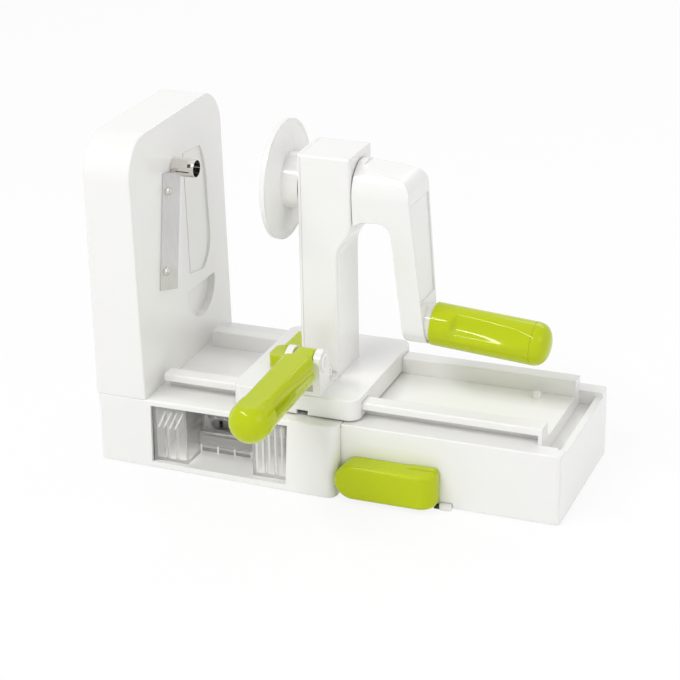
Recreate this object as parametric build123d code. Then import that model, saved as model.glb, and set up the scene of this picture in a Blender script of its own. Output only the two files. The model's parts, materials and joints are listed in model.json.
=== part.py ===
from build123d import *
import os
from math import atan2, cos, degrees, hypot, pi, radians, sin, tan

# A hand cranked kitchen spiralizer.  Millimetres, +Z up, table top at Z = 0.
# X runs along the bench from the blade tower (-X) to the crank end (+X), -Y faces the cook.
# The origin is the centre of the suction cup's flat underside, in the plane of the crank axle.

# ---------------------------------------------------------------- driving dimensions: base
TOWER_END_X = -187.5      # outer face of the bench at the tower
JOIN_X = -13.0            # where the wide left shell ends and the narrow one carries on
CRANK_END_X = 137.0       # outer face of the bench under the crank
DECK_Z = 49.5             # top of both shells
SHELL_BOTTOM_Z = 0.8      # the shells hang just clear of the table
WALL = 2.5                # moulded wall of both shells
DECK_THICKNESS = 2.5
RIGHT_HALF_WIDTH = 58.2
LEFT_FRONT_Y = -66.3      # front face of the left shell at the tower
LEFT_TOP_SHIFT = 2.3      # its top edge comes back by this much on the way to the join
LEFT_FLARE = 5.5          # and its foot comes forward by this much
LEFT_BACK_Y = 79.1
CORNER_R = 6.0            # upright corners of the shells
EDGE_R = 1.2              # softened outer edges of the mouldings
NECK_LENGTH = 30.0        # how far the right shell reaches into the left one
COVER_BOTTOM_Z = 2.4      # underside cover
COVER_THICKNESS = 2.2
FIT = 0.3                 # assembly gap between moulded pieces
SLIDE_GAP = 0.3           # gap of every sliding or swinging pair
RUNNING = 0.05            # radial clearance of a shaft in its bore
SCREW_R = 1.5
SCREW_HEAD_R = 3.0
SCREW_HEAD = 1.6
BOSS_R = 4.0

# ---------------------------------------------------------------- guide rails and trough
TRACK_START_X = -146.5
TRACK_END_X = 121.0
RAIL_TOP_Z = 61.0
FLANGE_HALF_WIDTH = 45.5
FLANGE_THICKNESS = 5.4
WEB_OUTER = 37.5
WEB_INNER = 33.5
TROUGH_FLOOR_Z = 39.5
TROUGH_HALF_WIDTH = 45.5
END_WALL = 4.8
END_WALL_DROP = 3.1       # the end wall stands this much lower between its corner posts
STOP_X = 97.0
STOP_Y = 24.5
STOP_LENGTH = 5.0
STOP_HEIGHT = 4.0
DRAIN_R = 1.5
DRAINS = [(-133.9, -35.5), (-120.2, -36.0)]
SCREW_BITE = 12.0         # how deep the cover's screws reach
SCREW_INSET = 14.0        # the cover's and the rails' screws stand in by about this much
TOWER_SCREW_INSET = 26.0
TAB_SCREW_GAP = 22.0
FAR = 300.0               # longer than anything here, for cutting tools

# ---------------------------------------------------------------- blade tower
TOWER_DEPTH = 36.0
TOWER_LEAN = 1.0          # degrees that the cutting face leans back
TOWER_TOP_Z = 230.0
TOWER_FRONT_Y = -65.9
TOWER_CORNER_R = 27.0
TOWER_WALL = 2.6
BACK_COVER = 2.5
AXLE_Z = 194.5            # crank axle above the table
KNIFE_LENGTH = 80.0
KNIFE_WIDTH = 18.2
KNIFE_THICKNESS = 0.9
KNIFE_LIFT = 23.6         # degrees that the knife stands off the face
KNIFE_SKEW = 11.3         # degrees that the knife leans in the plane of the face
KNIFE_TOP_Y = -17.6       # upper end of the knife's hinge line
RIVET_R = 3.2
RIVET_HOLE_R = 1.6
RIVET_INSET = 12.0
TUBE_R = 6.4
TUBE_WALL = 0.6
TUBE_REACH = 17.0         # how far the coring tube stands out of the cutting face
THROAT_INSET = 11.0       # slot that slices pass through, measured from the knife's hinge line
THROAT_WIDTH = 18.0
THROAT_TOP_Z = 184.0
POCKET_LEFT_Y = 15.5      # shallow crescent pocket beside the throat
POCKET_RIGHT_Y = 49.9
POCKET_TOP_Z = 199.0
POCKET_BOTTOM_Z = 107.0
POCKET_DEPTH = 1.4
SCOOP_Y = 31.3            # half moon scoop under the pocket
SCOOP_R = 22.5
SCOOP_TOP_Z = 98.5
SCOOP_DEPTH = 5.5

# ---------------------------------------------------------------- storage drawer
DRAWER_X = -98.2
DRAWER_WIDTH = 98.6
DRAWER_FRONT_Y = -64.4
DRAWER_DEPTH = 96.0
DRAWER_WALL = 1.8
WINDOW_TOP_Z = 45.6
WINDOW_GAP = 0.5
RECESS_WIDTH = 48.0
RECESS_DEPTH = 23.0
SLOT_WIDTH = 32.0
SLOT_HEIGHT = 8.0
SHELF_TOP_Z = 20.0
SHELF_BOTTOM_Z = 12.0
SHELF_DEPTH = 5.0
INSERT_LENGTH = 80.0
INSERT_WIDTH = 26.0
INSERT_HEIGHT = 8.0
TOOTH_HEIGHT = 9.0
TOOTH_THICKNESS = 0.8

# ---------------------------------------------------------------- suction foot
PIVOT_Z = 15.5
LEVER_R = 12.5
LEVER_LENGTH = 68.5
LEVER_DEPTH = 15.4
LEVER_CORNER_R = 11.0
LEVER_SHAFT_R = 4.0
LEVER_LIP = 0.6           # raised lip along the back of the lever's outer half
LIP_CLEAR = 1.0           # that lip starts this far above the deck when the lever stands up
CUP_R = 38.0
CUP_THICKNESS = 2.0
CUP_BOSS_R = 10.0
CUP_LIFT = 3.0            # the cup's middle rises this much when the lever is turned up
CAM_R = 6.5
CAM_WIDTH = 8.0
CAM_CLEARANCE = 0.5
YOKE_WALL = 3.0
YOKE_HALF_WIDTH = 15.5
COVER_HOLE_R = 18.0
FOOT_R = 6.5
FOOT_INSET = 13.0
TAB_X = 60.6
TAB_HALF = 4.0
TAB_TOP_Z = 3.8
TONGUE_WIDTH = 3.6        # rubber tongue of the cup, beside the tab
FOOT_TO_SCREW = 18.0      # how far the right feet stand in from the ends of the cover's screws

# ---------------------------------------------------------------- carriage
PLATE_X = -47.5
PLATE_LENGTH = 90.0
PLATE_HALF_WIDTH = 54.7
PLATE_TOP_Z = 65.2
PLATE_CORNER_R = 8.0
PLATE_GROUND_GAP = 1.3    # the skirts float this far over the deck
PLATE_ROOF = 3.5
COLUMN_X = -55.7          # face of the column towards the tower
COLUMN_WIDTH = 27.2
HEAD_WIDTH = 37.2
COLUMN_HALF_DEPTH = 20.0
COLUMN_TOP_Z = 219.5
HEAD_BOTTOM_Z = 174.0
HEAD_CURVE_Z = 148.0      # where the head has run into the plain column
COLUMN_WALL = 2.6
COLUMN_EDGE_R = 2.0
AXLE_R = 5.0
BUSH_WALL = 3.0
BUSH_LENGTH = 11.0

# ---------------------------------------------------------------- crank
DISC_BACK_X = -70.4       # back face of the food disc's rim
DISC_R = 40.4
DISC_RIM = 3.2
DISC_DISH = 3.0
DISC_HUB_R = 19.4
PRONG_LENGTH = 8.0
PRONG_R = 1.7
CRANK_GAP = 0.8           # crank hub to the column head
CRANK_HUB_R = 20.0
CRANK_NECK_R = 16.8
CRANK_THROW_Z = 105.0     # height of the grip's axis with the arm hanging down
CRANK_END_R = 14.3
ARM_OUT_X = 21.6          # outer face of the arm, level with the axle
ARM_THICKNESS = 15.2
ARM_PANEL = 0.9           # depth of the panel in the arm's outer face
ARM_LIP = 2.0             # rim left round that panel
ARM_SLANT = 5.0           # degrees that the arm leans outwards
GRIP_TILT = 4.1           # degrees that the grip droops
GRIP_R = 14.6
GRIP_LENGTH = 80.0
GRIP_NECK_R = 13.8
ARM_NECK_R = 12.6          # white neck of the arm that the grip butts against
SPINDLE_R = 4.5
COLLAR_R = 9.0
COLLAR_LENGTH = 3.0
DISH_DEPTH = 1.8          # finger dish in the grip
DISH_START = 15.0         # from the grip's near end
DISH_WIDTH = 15.0
DISH_TURN = 64.0          # degrees round from straight up, towards the cook
CAP_LENGTH = 11.0
CAP_PLUG = 3.0            # the cap is pressed this far into the grip
GRIP_SHELL = 5.0          # wall of the grip round the spindle's end

# ---------------------------------------------------------------- push handle and latch
EAR_THICKNESS = 5.0
EAR_GAP = 15.0
EAR_R = 8.8
EAR_X = -41.0             # middle between the two ears
HANDLE_PIN_Z = 86.5
HANDLE_PIN_R = 2.5
HANDLE_LENGTH = 92.5      # pin to the centre of the round end
HANDLE_R = 14.0
HANDLE_FLAT = 12.2        # height of the flat top above the handle's axis
HANDLE_DROOP = 2.0        # degrees
HANDLE_WAIST = 0.7        # the bar is this much slimmer than its round end
HANDLE_GROOVE = 3.0       # depth of the V groove along each side, at the round end
HANDLE_END = 9.0          # length of the round end before its dome
LATCH_PIN_R = 1.5
LATCH_PIN_X = -60.0
LATCH_PIN_Z = 78.0
LATCH_WIDTH = 24.0
LATCH_Y = -4.5
CHEEK_R = 3.6             # round top of the cheeks that hold the latch's pin
CHEEK_THICKNESS = 2.4
THUMB_WIDTH = 20.0
THUMB_Y = -12.5

# ---------------------------------------------------------------- worked out from them
COVER_TOP_Z = COVER_BOTTOM_Z + COVER_THICKNESS
DECK_UNDER_Z = DECK_Z - DECK_THICKNESS
NECK_X = JOIN_X - NECK_LENGTH
FACE_X = TOWER_END_X + TOWER_DEPTH
PLATE_BOTTOM_Z = DECK_Z + PLATE_GROUND_GAP
FLANGE_BOTTOM_Z = RAIL_TOP_Z - FLANGE_THICKNESS
COLUMN_RIGHT_X = COLUMN_X + COLUMN_WIDTH
HEAD_RIGHT_X = COLUMN_X + HEAD_WIDTH
EAR_Y = EAR_R - PLATE_HALF_WIDTH
END_WALL_X = CRANK_END_X - END_WALL
HUB_X = HEAD_RIGHT_X + CRANK_GAP
BUSH_R = AXLE_R + BUSH_WALL


# ---------------------------------------------------------------- helpers
def block(x0, x1, y0, y1, z0, z1):
    """Box between two corners."""
    return Pos((x0 + x1) / 2, (y0 + y1) / 2, (z0 + z1) / 2) * Box(x1 - x0, y1 - y0, z1 - z0)


def rod_x(r, x0, x1, y=0.0, z=0.0):
    return Pos((x0 + x1) / 2, y, z) * Rot(0, 90, 0) * Cylinder(r, x1 - x0)


def rod_y(r, y0, y1, x=0.0, z=0.0):
    return Pos(x, (y0 + y1) / 2, z) * Rot(90, 0, 0) * Cylinder(r, y1 - y0)


def rod_z(r, z0, z1, x=0.0, y=0.0):
    return Pos(x, y, (z0 + z1) / 2) * Cylinder(r, z1 - z0)


def slab_xz(face, y0, y1):
    """Face drawn in X and Z, made solid from y0 to y1."""
    return Pos(0, y1, 0) * extrude(Plane.XZ * face, y1 - y0)


def slab_yz(face, x0, x1):
    """Face drawn in Y and Z, made solid from x0 to x1."""
    return Pos(x0, 0, 0) * extrude(Plane.YZ * face, x1 - x0)


def rounded(points, radii):
    """Face with straight sides and its own radius at each corner."""
    return make_face(FilletPolyline(*points, radius=radii, close=True))


def screws_up(points, z0, length, r=SCREW_R):
    """Screws driven upwards, with their heads' undersides at z0."""
    return [
        rod_z(SCREW_HEAD_R, z0 - SCREW_HEAD, z0, x, y) + rod_z(r, z0, z0 + length, x, y)
        for x, y in points
    ]


def group(solids):
    """Separate solids that share one node."""
    return Compound(children=list(solids))


def save(name, shape):
    export_step(shape, os.path.join("parts", name + ".step"))


# ---------------------------------------------------------------- base shells
def left_plan(inset, z):
    """Outline of the left shell at one height, inset all round."""
    share = (z - SHELL_BOTTOM_Z) / (DECK_Z - SHELL_BOTTOM_Z)
    front_end = LEFT_FRONT_Y - LEFT_FLARE + share * (LEFT_FLARE + LEFT_TOP_SHIFT)
    corners = [
        (TOWER_END_X + inset, LEFT_FRONT_Y + inset),
        (JOIN_X - inset, front_end + inset),
        (JOIN_X - inset, LEFT_BACK_Y - inset),
        (TOWER_END_X + inset, LEFT_BACK_Y - inset),
    ]
    small = CORNER_R / 2 - inset * 0.4
    return Pos(0, 0, z) * rounded(corners, [small, CORNER_R - inset, CORNER_R - inset, small])


COVER_SCREWS = [
    (TOWER_END_X + SCREW_INSET + 2, LEFT_FRONT_Y + SCREW_INSET),
    (TOWER_END_X + SCREW_INSET + 2, LEFT_BACK_Y - SCREW_INSET + 2),
    (NECK_X - SCREW_INSET - 2, LEFT_BACK_Y - SCREW_INSET + 2),
] + [
    (x, y)
    for x in (TAB_X + TAB_SCREW_GAP, TRACK_END_X - WALL)
    for y in (6 - TROUGH_HALF_WIDTH, TROUGH_HALF_WIDTH - 6)
]
RAIL_SCREWS = [
    (x, side * (WEB_OUTER + WEB_INNER) / 2)
    for x in (
        TRACK_START_X + SCREW_INSET - 2, NECK_X - SCREW_INSET,
        JOIN_X + TAB_SCREW_GAP + 2, TRACK_END_X - SCREW_INSET,
    )
    for side in (-1, 1)
]
TOWER_SCREWS = [
    (TOWER_END_X + TOWER_DEPTH / 2, y)
    for y in (TOWER_FRONT_Y + TOWER_SCREW_INSET, 0.0, LEFT_BACK_Y - TOWER_SCREW_INSET)
]
RAIL_SCREW_R = 1.2
WINDOW_HALF = DRAWER_WIDTH / 2 + WINDOW_GAP


def build_base_left_shell():
    """Wide moulded shell under the tower, open underneath, with the drawer's window in front."""
    shell = loft([left_plan(0, SHELL_BOTTOM_Z), left_plan(0, DECK_Z)])
    shell = fillet(shell.faces().sort_by(Axis.Z)[-1].edges(), EDGE_R)
    shell -= loft([left_plan(WALL, SHELL_BOTTOM_Z - 0.01), left_plan(WALL, DECK_UNDER_Z)])
    for x, y in COVER_SCREWS:
        if x < NECK_X:
            shell += rod_z(BOSS_R, COVER_TOP_Z, DECK_UNDER_Z, x, y)
            shell -= rod_z(SCREW_R + RUNNING, COVER_TOP_Z - 1, COVER_TOP_Z + SCREW_BITE, x, y)
    window_front = LEFT_FRONT_Y - LEFT_FLARE - 1
    shell -= block(
        DRAWER_X - WINDOW_HALF, DRAWER_X + WINDOW_HALF,
        window_front, LEFT_FRONT_Y + 3 * WALL, COVER_TOP_Z, WINDOW_TOP_Z,
    )
    half = RIGHT_HALF_WIDTH + FIT
    shell -= block(JOIN_X - 2 * WALL, JOIN_X + 1, -half, half, 0, DECK_UNDER_Z)
    for x, y in RAIL_SCREWS:
        if x < JOIN_X:
            shell -= rod_z(RAIL_SCREW_R + RUNNING, DECK_UNDER_Z - 1, DECK_Z + 1, x, y)
    for x, y in TOWER_SCREWS:
        shell -= rod_z(SCREW_R + RUNNING, DECK_UNDER_Z - 1, DECK_Z + 1, x, y)
    for x, y in DRAINS:
        shell -= rod_z(DRAIN_R, DECK_UNDER_Z - 1, DECK_Z + 1, x, y)
    return shell


GUIDE_GAP_Y = 6.0         # half the space between the two guide walls of the stem
GUIDE_WALL = 3.0
GUIDE_HALF_X = 12.0


def build_base_right_shell():
    """Narrow shell at the crank end: a neck inside the left shell, deck, trough and end wall."""
    w = RIGHT_HALF_WIDTH
    start = JOIN_X + FIT
    plan = [(start, -w), (CRANK_END_X, -w), (CRANK_END_X, w), (start, w)]
    foot = Pos(0, 0, SHELL_BOTTOM_Z) * rounded(plan, [0.6, 2.5, 2.5, 0.6])
    outer = extrude(foot, DECK_Z - SHELL_BOTTOM_Z)
    outer = fillet(outer.faces().sort_by(Axis.Z)[-1].edges(), 0.9)
    neck_top = DECK_UNDER_Z - FIT
    outer += block(NECK_X, start + 1, -w, w, SHELL_BOTTOM_Z, neck_top)
    shell = outer - block(
        start, END_WALL_X + END_WALL - WALL, WALL - w, w - WALL, 0, DECK_UNDER_Z
    )
    shell -= block(NECK_X - 1, start + 0.01, WALL - w, w - WALL, 0, neck_top - DECK_THICKNESS)
    # trough across the crank end
    t = TROUGH_HALF_WIDTH
    floor = TROUGH_FLOOR_Z - WALL
    shell += block(TRACK_END_X - WALL, CRANK_END_X - WALL, -t - WALL, t + WALL, floor, DECK_UNDER_Z + 1)
    shell -= block(TRACK_END_X, END_WALL_X, -t, t, TROUGH_FLOOR_Z, DECK_Z + 1)
    shell -= block(END_WALL_X - 0.01, CRANK_END_X + 1, -t - 2, t, DECK_Z - END_WALL_DROP, DECK_Z + 1)
    # two walls that guide the suction stem and carry the lever's shaft
    for side in (-1, 1):
        y0 = side * GUIDE_GAP_Y
        y1 = side * (GUIDE_GAP_Y + GUIDE_WALL)
        shell += block(
            -GUIDE_HALF_X, GUIDE_HALF_X, min(y0, y1), max(y0, y1), COVER_TOP_Z + 1, DECK_UNDER_Z + 1
        )
    shell -= rod_y(LEVER_SHAFT_R + RUNNING, -w + WALL - 0.5, GUIDE_GAP_Y + GUIDE_WALL + 1, 0, PIVOT_Z)
    shell -= rod_y(LEVER_SHAFT_R + 2.5 + RUNNING, -w - 1, -w + WALL + 1, 0, PIVOT_Z)
    for x, y in COVER_SCREWS:
        if x > JOIN_X:
            top = floor if x > TRACK_END_X - 2 * BOSS_R else DECK_UNDER_Z
            shell += rod_z(BOSS_R, COVER_TOP_Z, top + 1, x, y)
            shell -= rod_z(SCREW_R + RUNNING, COVER_TOP_Z - 1, COVER_TOP_Z + SCREW_BITE, x, y)
    for x, y in RAIL_SCREWS:
        if x > JOIN_X:
            shell -= rod_z(RAIL_SCREW_R + RUNNING, DECK_UNDER_Z - 1, DECK_Z + 1, x, y)
    shell -= block(
        TAB_X - TAB_HALF - TONGUE_WIDTH - 2 * FIT, TAB_X + TAB_HALF + FIT,
        -w - 1, WALL - w + 1, 0, COVER_BOTTOM_Z,
    )
    shell -= block(TAB_X - TAB_HALF - FIT, TAB_X + TAB_HALF + FIT, -w - 1, -w + 0.9, 0, TAB_TOP_Z + FIT)
    half = STOP_LENGTH / 2 - 0.6
    shell -= block(STOP_X - half, STOP_X + half, STOP_Y - half, STOP_Y + half, DECK_UNDER_Z - 1, DECK_Z + 1)
    return shell


def build_guide_rail(side):
    """One rail: an upright web with a flange that points outwards, over both shells."""
    face = rounded(
        [
            (side * WEB_INNER, DECK_Z), (side * WEB_OUTER, DECK_Z),
            (side * WEB_OUTER, FLANGE_BOTTOM_Z), (side * FLANGE_HALF_WIDTH, FLANGE_BOTTOM_Z),
            (side * FLANGE_HALF_WIDTH, RAIL_TOP_Z), (side * WEB_INNER, RAIL_TOP_Z),
        ],
        [0, 0, 0.8, 0.8, EDGE_R, EDGE_R],
    )
    rail = slab_yz(face, TRACK_START_X, TRACK_END_X)
    end = block(
        TRACK_END_X - 3, TRACK_END_X,
        min(side * WEB_INNER, side * FLANGE_HALF_WIDTH), max(side * WEB_INNER, side * FLANGE_HALF_WIDTH),
        DECK_Z, RAIL_TOP_Z - EDGE_R,
    )
    rail += end
    for x, y in RAIL_SCREWS:
        if y * side > 0:
            rail -= rod_z(RAIL_SCREW_R + RUNNING, DECK_Z - 1, DECK_Z + 8, x, y)
    return rail


def build_rail_screws():
    length = DECK_THICKNESS + 7
    return group(
        rod_z(2.2, DECK_UNDER_Z - RAIL_SCREW_R, DECK_UNDER_Z, x, y)
        + rod_z(RAIL_SCREW_R, DECK_UNDER_Z, DECK_UNDER_Z + length, x, y)
        for x, y in RAIL_SCREWS
    )


def build_track_stop():
    """Nub snapped into the deck that ends the carriage's travel."""
    half = STOP_LENGTH / 2
    nub = block(STOP_X - half, STOP_X + half, STOP_Y - half, STOP_Y + half, DECK_Z, DECK_Z + STOP_HEIGHT)
    nub = fillet(nub.edges().filter_by(Axis.Z), 1.0)
    leg = half - 0.7
    return nub + block(STOP_X - leg, STOP_X + leg, STOP_Y - leg, STOP_Y + leg, DECK_UNDER_Z, DECK_Z)


def build_bottom_cover():
    """Flat cover that closes both shells underneath, with a hole for the cup's stem."""
    gap = WALL + FIT
    left = extrude(left_plan(gap, COVER_BOTTOM_Z), COVER_THICKNESS)
    half = RIGHT_HALF_WIDTH - gap
    cover = left - block(NECK_X - FIT, JOIN_X + 1, -FAR, FAR, 0, DECK_Z)
    cover += block(NECK_X - 1, CRANK_END_X - gap, -half, half, COVER_BOTTOM_Z, COVER_TOP_Z)
    cover -= rod_z(COVER_HOLE_R, 0, DECK_Z)
    for x, y in COVER_SCREWS:
        cover -= rod_z(SCREW_R + RUNNING, 0, DECK_Z, x, y)
        cover -= rod_z(SCREW_HEAD_R + RUNNING, 0, COVER_BOTTOM_Z + SCREW_HEAD / 2, x, y)
    return cover


def build_cover_screws():
    return group(screws_up(COVER_SCREWS, COVER_BOTTOM_Z + SCREW_HEAD / 2, SCREW_BITE))


def build_rubber_feet():
    left = TOWER_END_X + FOOT_INSET
    right = CRANK_END_X - FOOT_INSET
    front = LEFT_FRONT_Y + FOOT_INSET
    back = LEFT_BACK_Y - FOOT_INSET
    width = RIGHT_HALF_WIDTH - FOOT_INSET - FOOT_TO_SCREW
    places = [(left, front + 24), (left, back - 24), (NECK_X - 12, front), (NECK_X - 12, back - 24),
              (right, -width), (right, width)]
    feet = [rod_z(FOOT_R, 0, COVER_BOTTOM_Z, x, y) for x, y in places]
    return group(fillet(foot.edges().sort_by(Axis.Z)[0], 0.5) for foot in feet)


# ---------------------------------------------------------------- suction foot
def build_suction_cup():
    cup = rod_z(CUP_R, 0, CUP_THICKNESS)
    cup = chamfer(cup.edges().sort_by(Axis.Z)[-1], 1.0)
    return cup + rod_z(CUP_BOSS_R, CUP_THICKNESS - 0.1, COVER_BOTTOM_Z + 1.1)


def build_cup_release_tab():
    """White pull tab under the front wall; it lets air in under the cup."""
    back = -RIGHT_HALF_WIDTH
    tab = block(TAB_X - TAB_HALF, TAB_X + TAB_HALF, back - 4, back + 0.6, 0.2, TAB_TOP_Z)
    tab += block(TAB_X - TAB_HALF, TAB_X + TAB_HALF, back, back + WALL + 3, 0.2, COVER_BOTTOM_Z - FIT)
    return fillet(tab.edges().filter_by(Axis.Z).sort_by(Axis.Y)[:2], 1.2)


def build_cup_tongue():
    """Rubber tongue of the cup, which comes out under the wall beside the tab."""
    right = TAB_X - TAB_HALF - 0.1
    return block(
        right - TONGUE_WIDTH, right, -RIGHT_HALF_WIDTH - 3, WALL + 3 - RIGHT_HALF_WIDTH,
        0.2, COVER_BOTTOM_Z - FIT,
    )


def build_suction_lever():
    """Flat lever on the front wall, with a full round at its pivot."""
    tip = LEVER_LENGTH - LEVER_R
    back = -RIGHT_HALF_WIDTH - 0.6
    front = back - LEVER_DEPTH
    body = rod_y(LEVER_R, front, back, 0, PIVOT_Z)
    body += block(0, tip, front, back, PIVOT_Z - LEVER_R, PIVOT_Z + LEVER_R)
    corner = [
        e for e in body.edges().filter_by(Axis.Z)
        if e.center().X > tip - 1 and e.center().Y < front + 1
    ]
    body = fillet(corner, LEVER_CORNER_R)
    body = fillet(body.faces().filter_by(Axis.Y).sort_by(Axis.Y)[0].edges(), 3.2)
    top = PIVOT_Z + LEVER_R
    lip_start = DECK_Z + LIP_CLEAR - PIVOT_Z
    lip = make_face(Polyline(
        (lip_start, top - 1), (lip_start, top), (lip_start + 4, top + LEVER_LIP),
        (tip - 2, top + LEVER_LIP), (tip - 0.5, top - 1),
        close=True,
    ))
    body += slab_xz(lip, back - LEVER_DEPTH * 0.35, back)
    body -= rod_y(LEVER_SHAFT_R, back - 8, back + 1, 0, PIVOT_Z)
    return body


def build_lever_shaft():
    back = -RIGHT_HALF_WIDTH - 0.6
    return rod_y(LEVER_SHAFT_R, back - 8, GUIDE_GAP_Y + GUIDE_WALL + 2, 0, PIVOT_Z)


def build_lever_bush():
    """Flanged bush in the front wall round the lever's shaft."""
    face = -RIGHT_HALF_WIDTH
    bush = rod_y(LEVER_SHAFT_R + 2.5, face, face + WALL + 3, 0, PIVOT_Z)
    bush += rod_y(LEVER_SHAFT_R + 4.5, face + WALL, face + WALL + 1.5, 0, PIVOT_Z)
    return bush - rod_y(LEVER_SHAFT_R + RUNNING, face - 1, face + WALL + 4, 0, PIVOT_Z)


def build_lever_cam():
    """Snail cam: its radius grows evenly over the quarter turn that lifts the stem."""
    rise = [
        (
            (CAM_R + CUP_LIFT * (1 - step / 9)) * cos(step * pi / 18),
            (CAM_R + CUP_LIFT * (1 - step / 9)) * sin(step * pi / 18),
        )
        for step in range(10)
    ]
    low = (CAM_R * cos(-pi / 3), CAM_R * sin(-pi / 3))
    nose = Line(low, rise[0])
    outline = nose + Spline(*rise) + ThreePointArc(rise[-1], (-CAM_R, 0), low)
    cam = slab_xz(make_face(Wire(outline.edges())), -CAM_WIDTH / 2, CAM_WIDTH / 2)
    return Pos(0, 0, PIVOT_Z) * cam - rod_y(LEVER_SHAFT_R, -CAM_WIDTH, CAM_WIDTH, 0, PIVOT_Z)


def build_suction_stem():
    """Yoke round the cam that pulls the middle of the cup upwards."""
    y = GUIDE_GAP_Y - SLIDE_GAP - 0.3
    x = YOKE_HALF_WIDTH
    bottom = COVER_BOTTOM_Z + 1.1
    inner_top = PIVOT_Z + CAM_R + CAM_CLEARANCE
    frame = block(-x, x, -y, y, bottom, inner_top + YOKE_WALL)
    frame -= block(YOKE_WALL - x, x - YOKE_WALL, -y - 1, y + 1, bottom + 2.2, inner_top)
    return frame


# ---------------------------------------------------------------- blade tower
def face_point(y, z, out=0.0):
    """Point on the leaning cutting face, or a little way out of it."""
    lean = radians(TOWER_LEAN)
    return (FACE_X - (z - DECK_Z) * tan(lean) + out * cos(lean), y, z + out * sin(lean))


def tower_plan(depth0, depth1, shrink):
    """Tower outline seen along X, between two planes, shrunk all round."""
    r = TOWER_CORNER_R - shrink
    y0 = TOWER_FRONT_Y + shrink
    y1 = LEFT_BACK_Y - shrink
    face = rounded(
        [(y0, DECK_Z), (y1, DECK_Z), (y1, TOWER_TOP_Z - shrink), (y0, TOWER_TOP_Z - shrink)],
        [0, 0, r, r],
    )
    return slab_yz(face, depth0, depth1)


def lean_cut(x):
    """Everything in front of the leaning plane that crosses the deck at x."""
    lean = tan(radians(TOWER_LEAN))
    rise = TOWER_TOP_Z - DECK_Z + WALL
    return slab_xz(
        make_face(Polyline(
            (x + WALL * lean, DECK_Z - WALL), (x + FAR, DECK_Z - WALL),
            (x + FAR, DECK_Z + rise), (x - rise * lean, DECK_Z + rise),
            close=True,
        )),
        -FAR, FAR,
    )


KNIFE_MID_Z = AXLE_Z + 0.5 - KNIFE_LENGTH / 2 * cos(radians(KNIFE_SKEW))


def knife_place(along, across, out):
    """Place on the knife: along it from its middle, across from its hinge line, out of the face."""
    mid_y = KNIFE_TOP_Y - KNIFE_LENGTH / 2 * sin(radians(KNIFE_SKEW))
    base = Pos(*face_point(mid_y, KNIFE_MID_Z)) * Rot(0, -TOWER_LEAN, 0) * Rot(-KNIFE_SKEW, 0, 0)
    return base * Rot(0, 0, KNIFE_LIFT * -1) * Pos(out, across, along)


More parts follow.
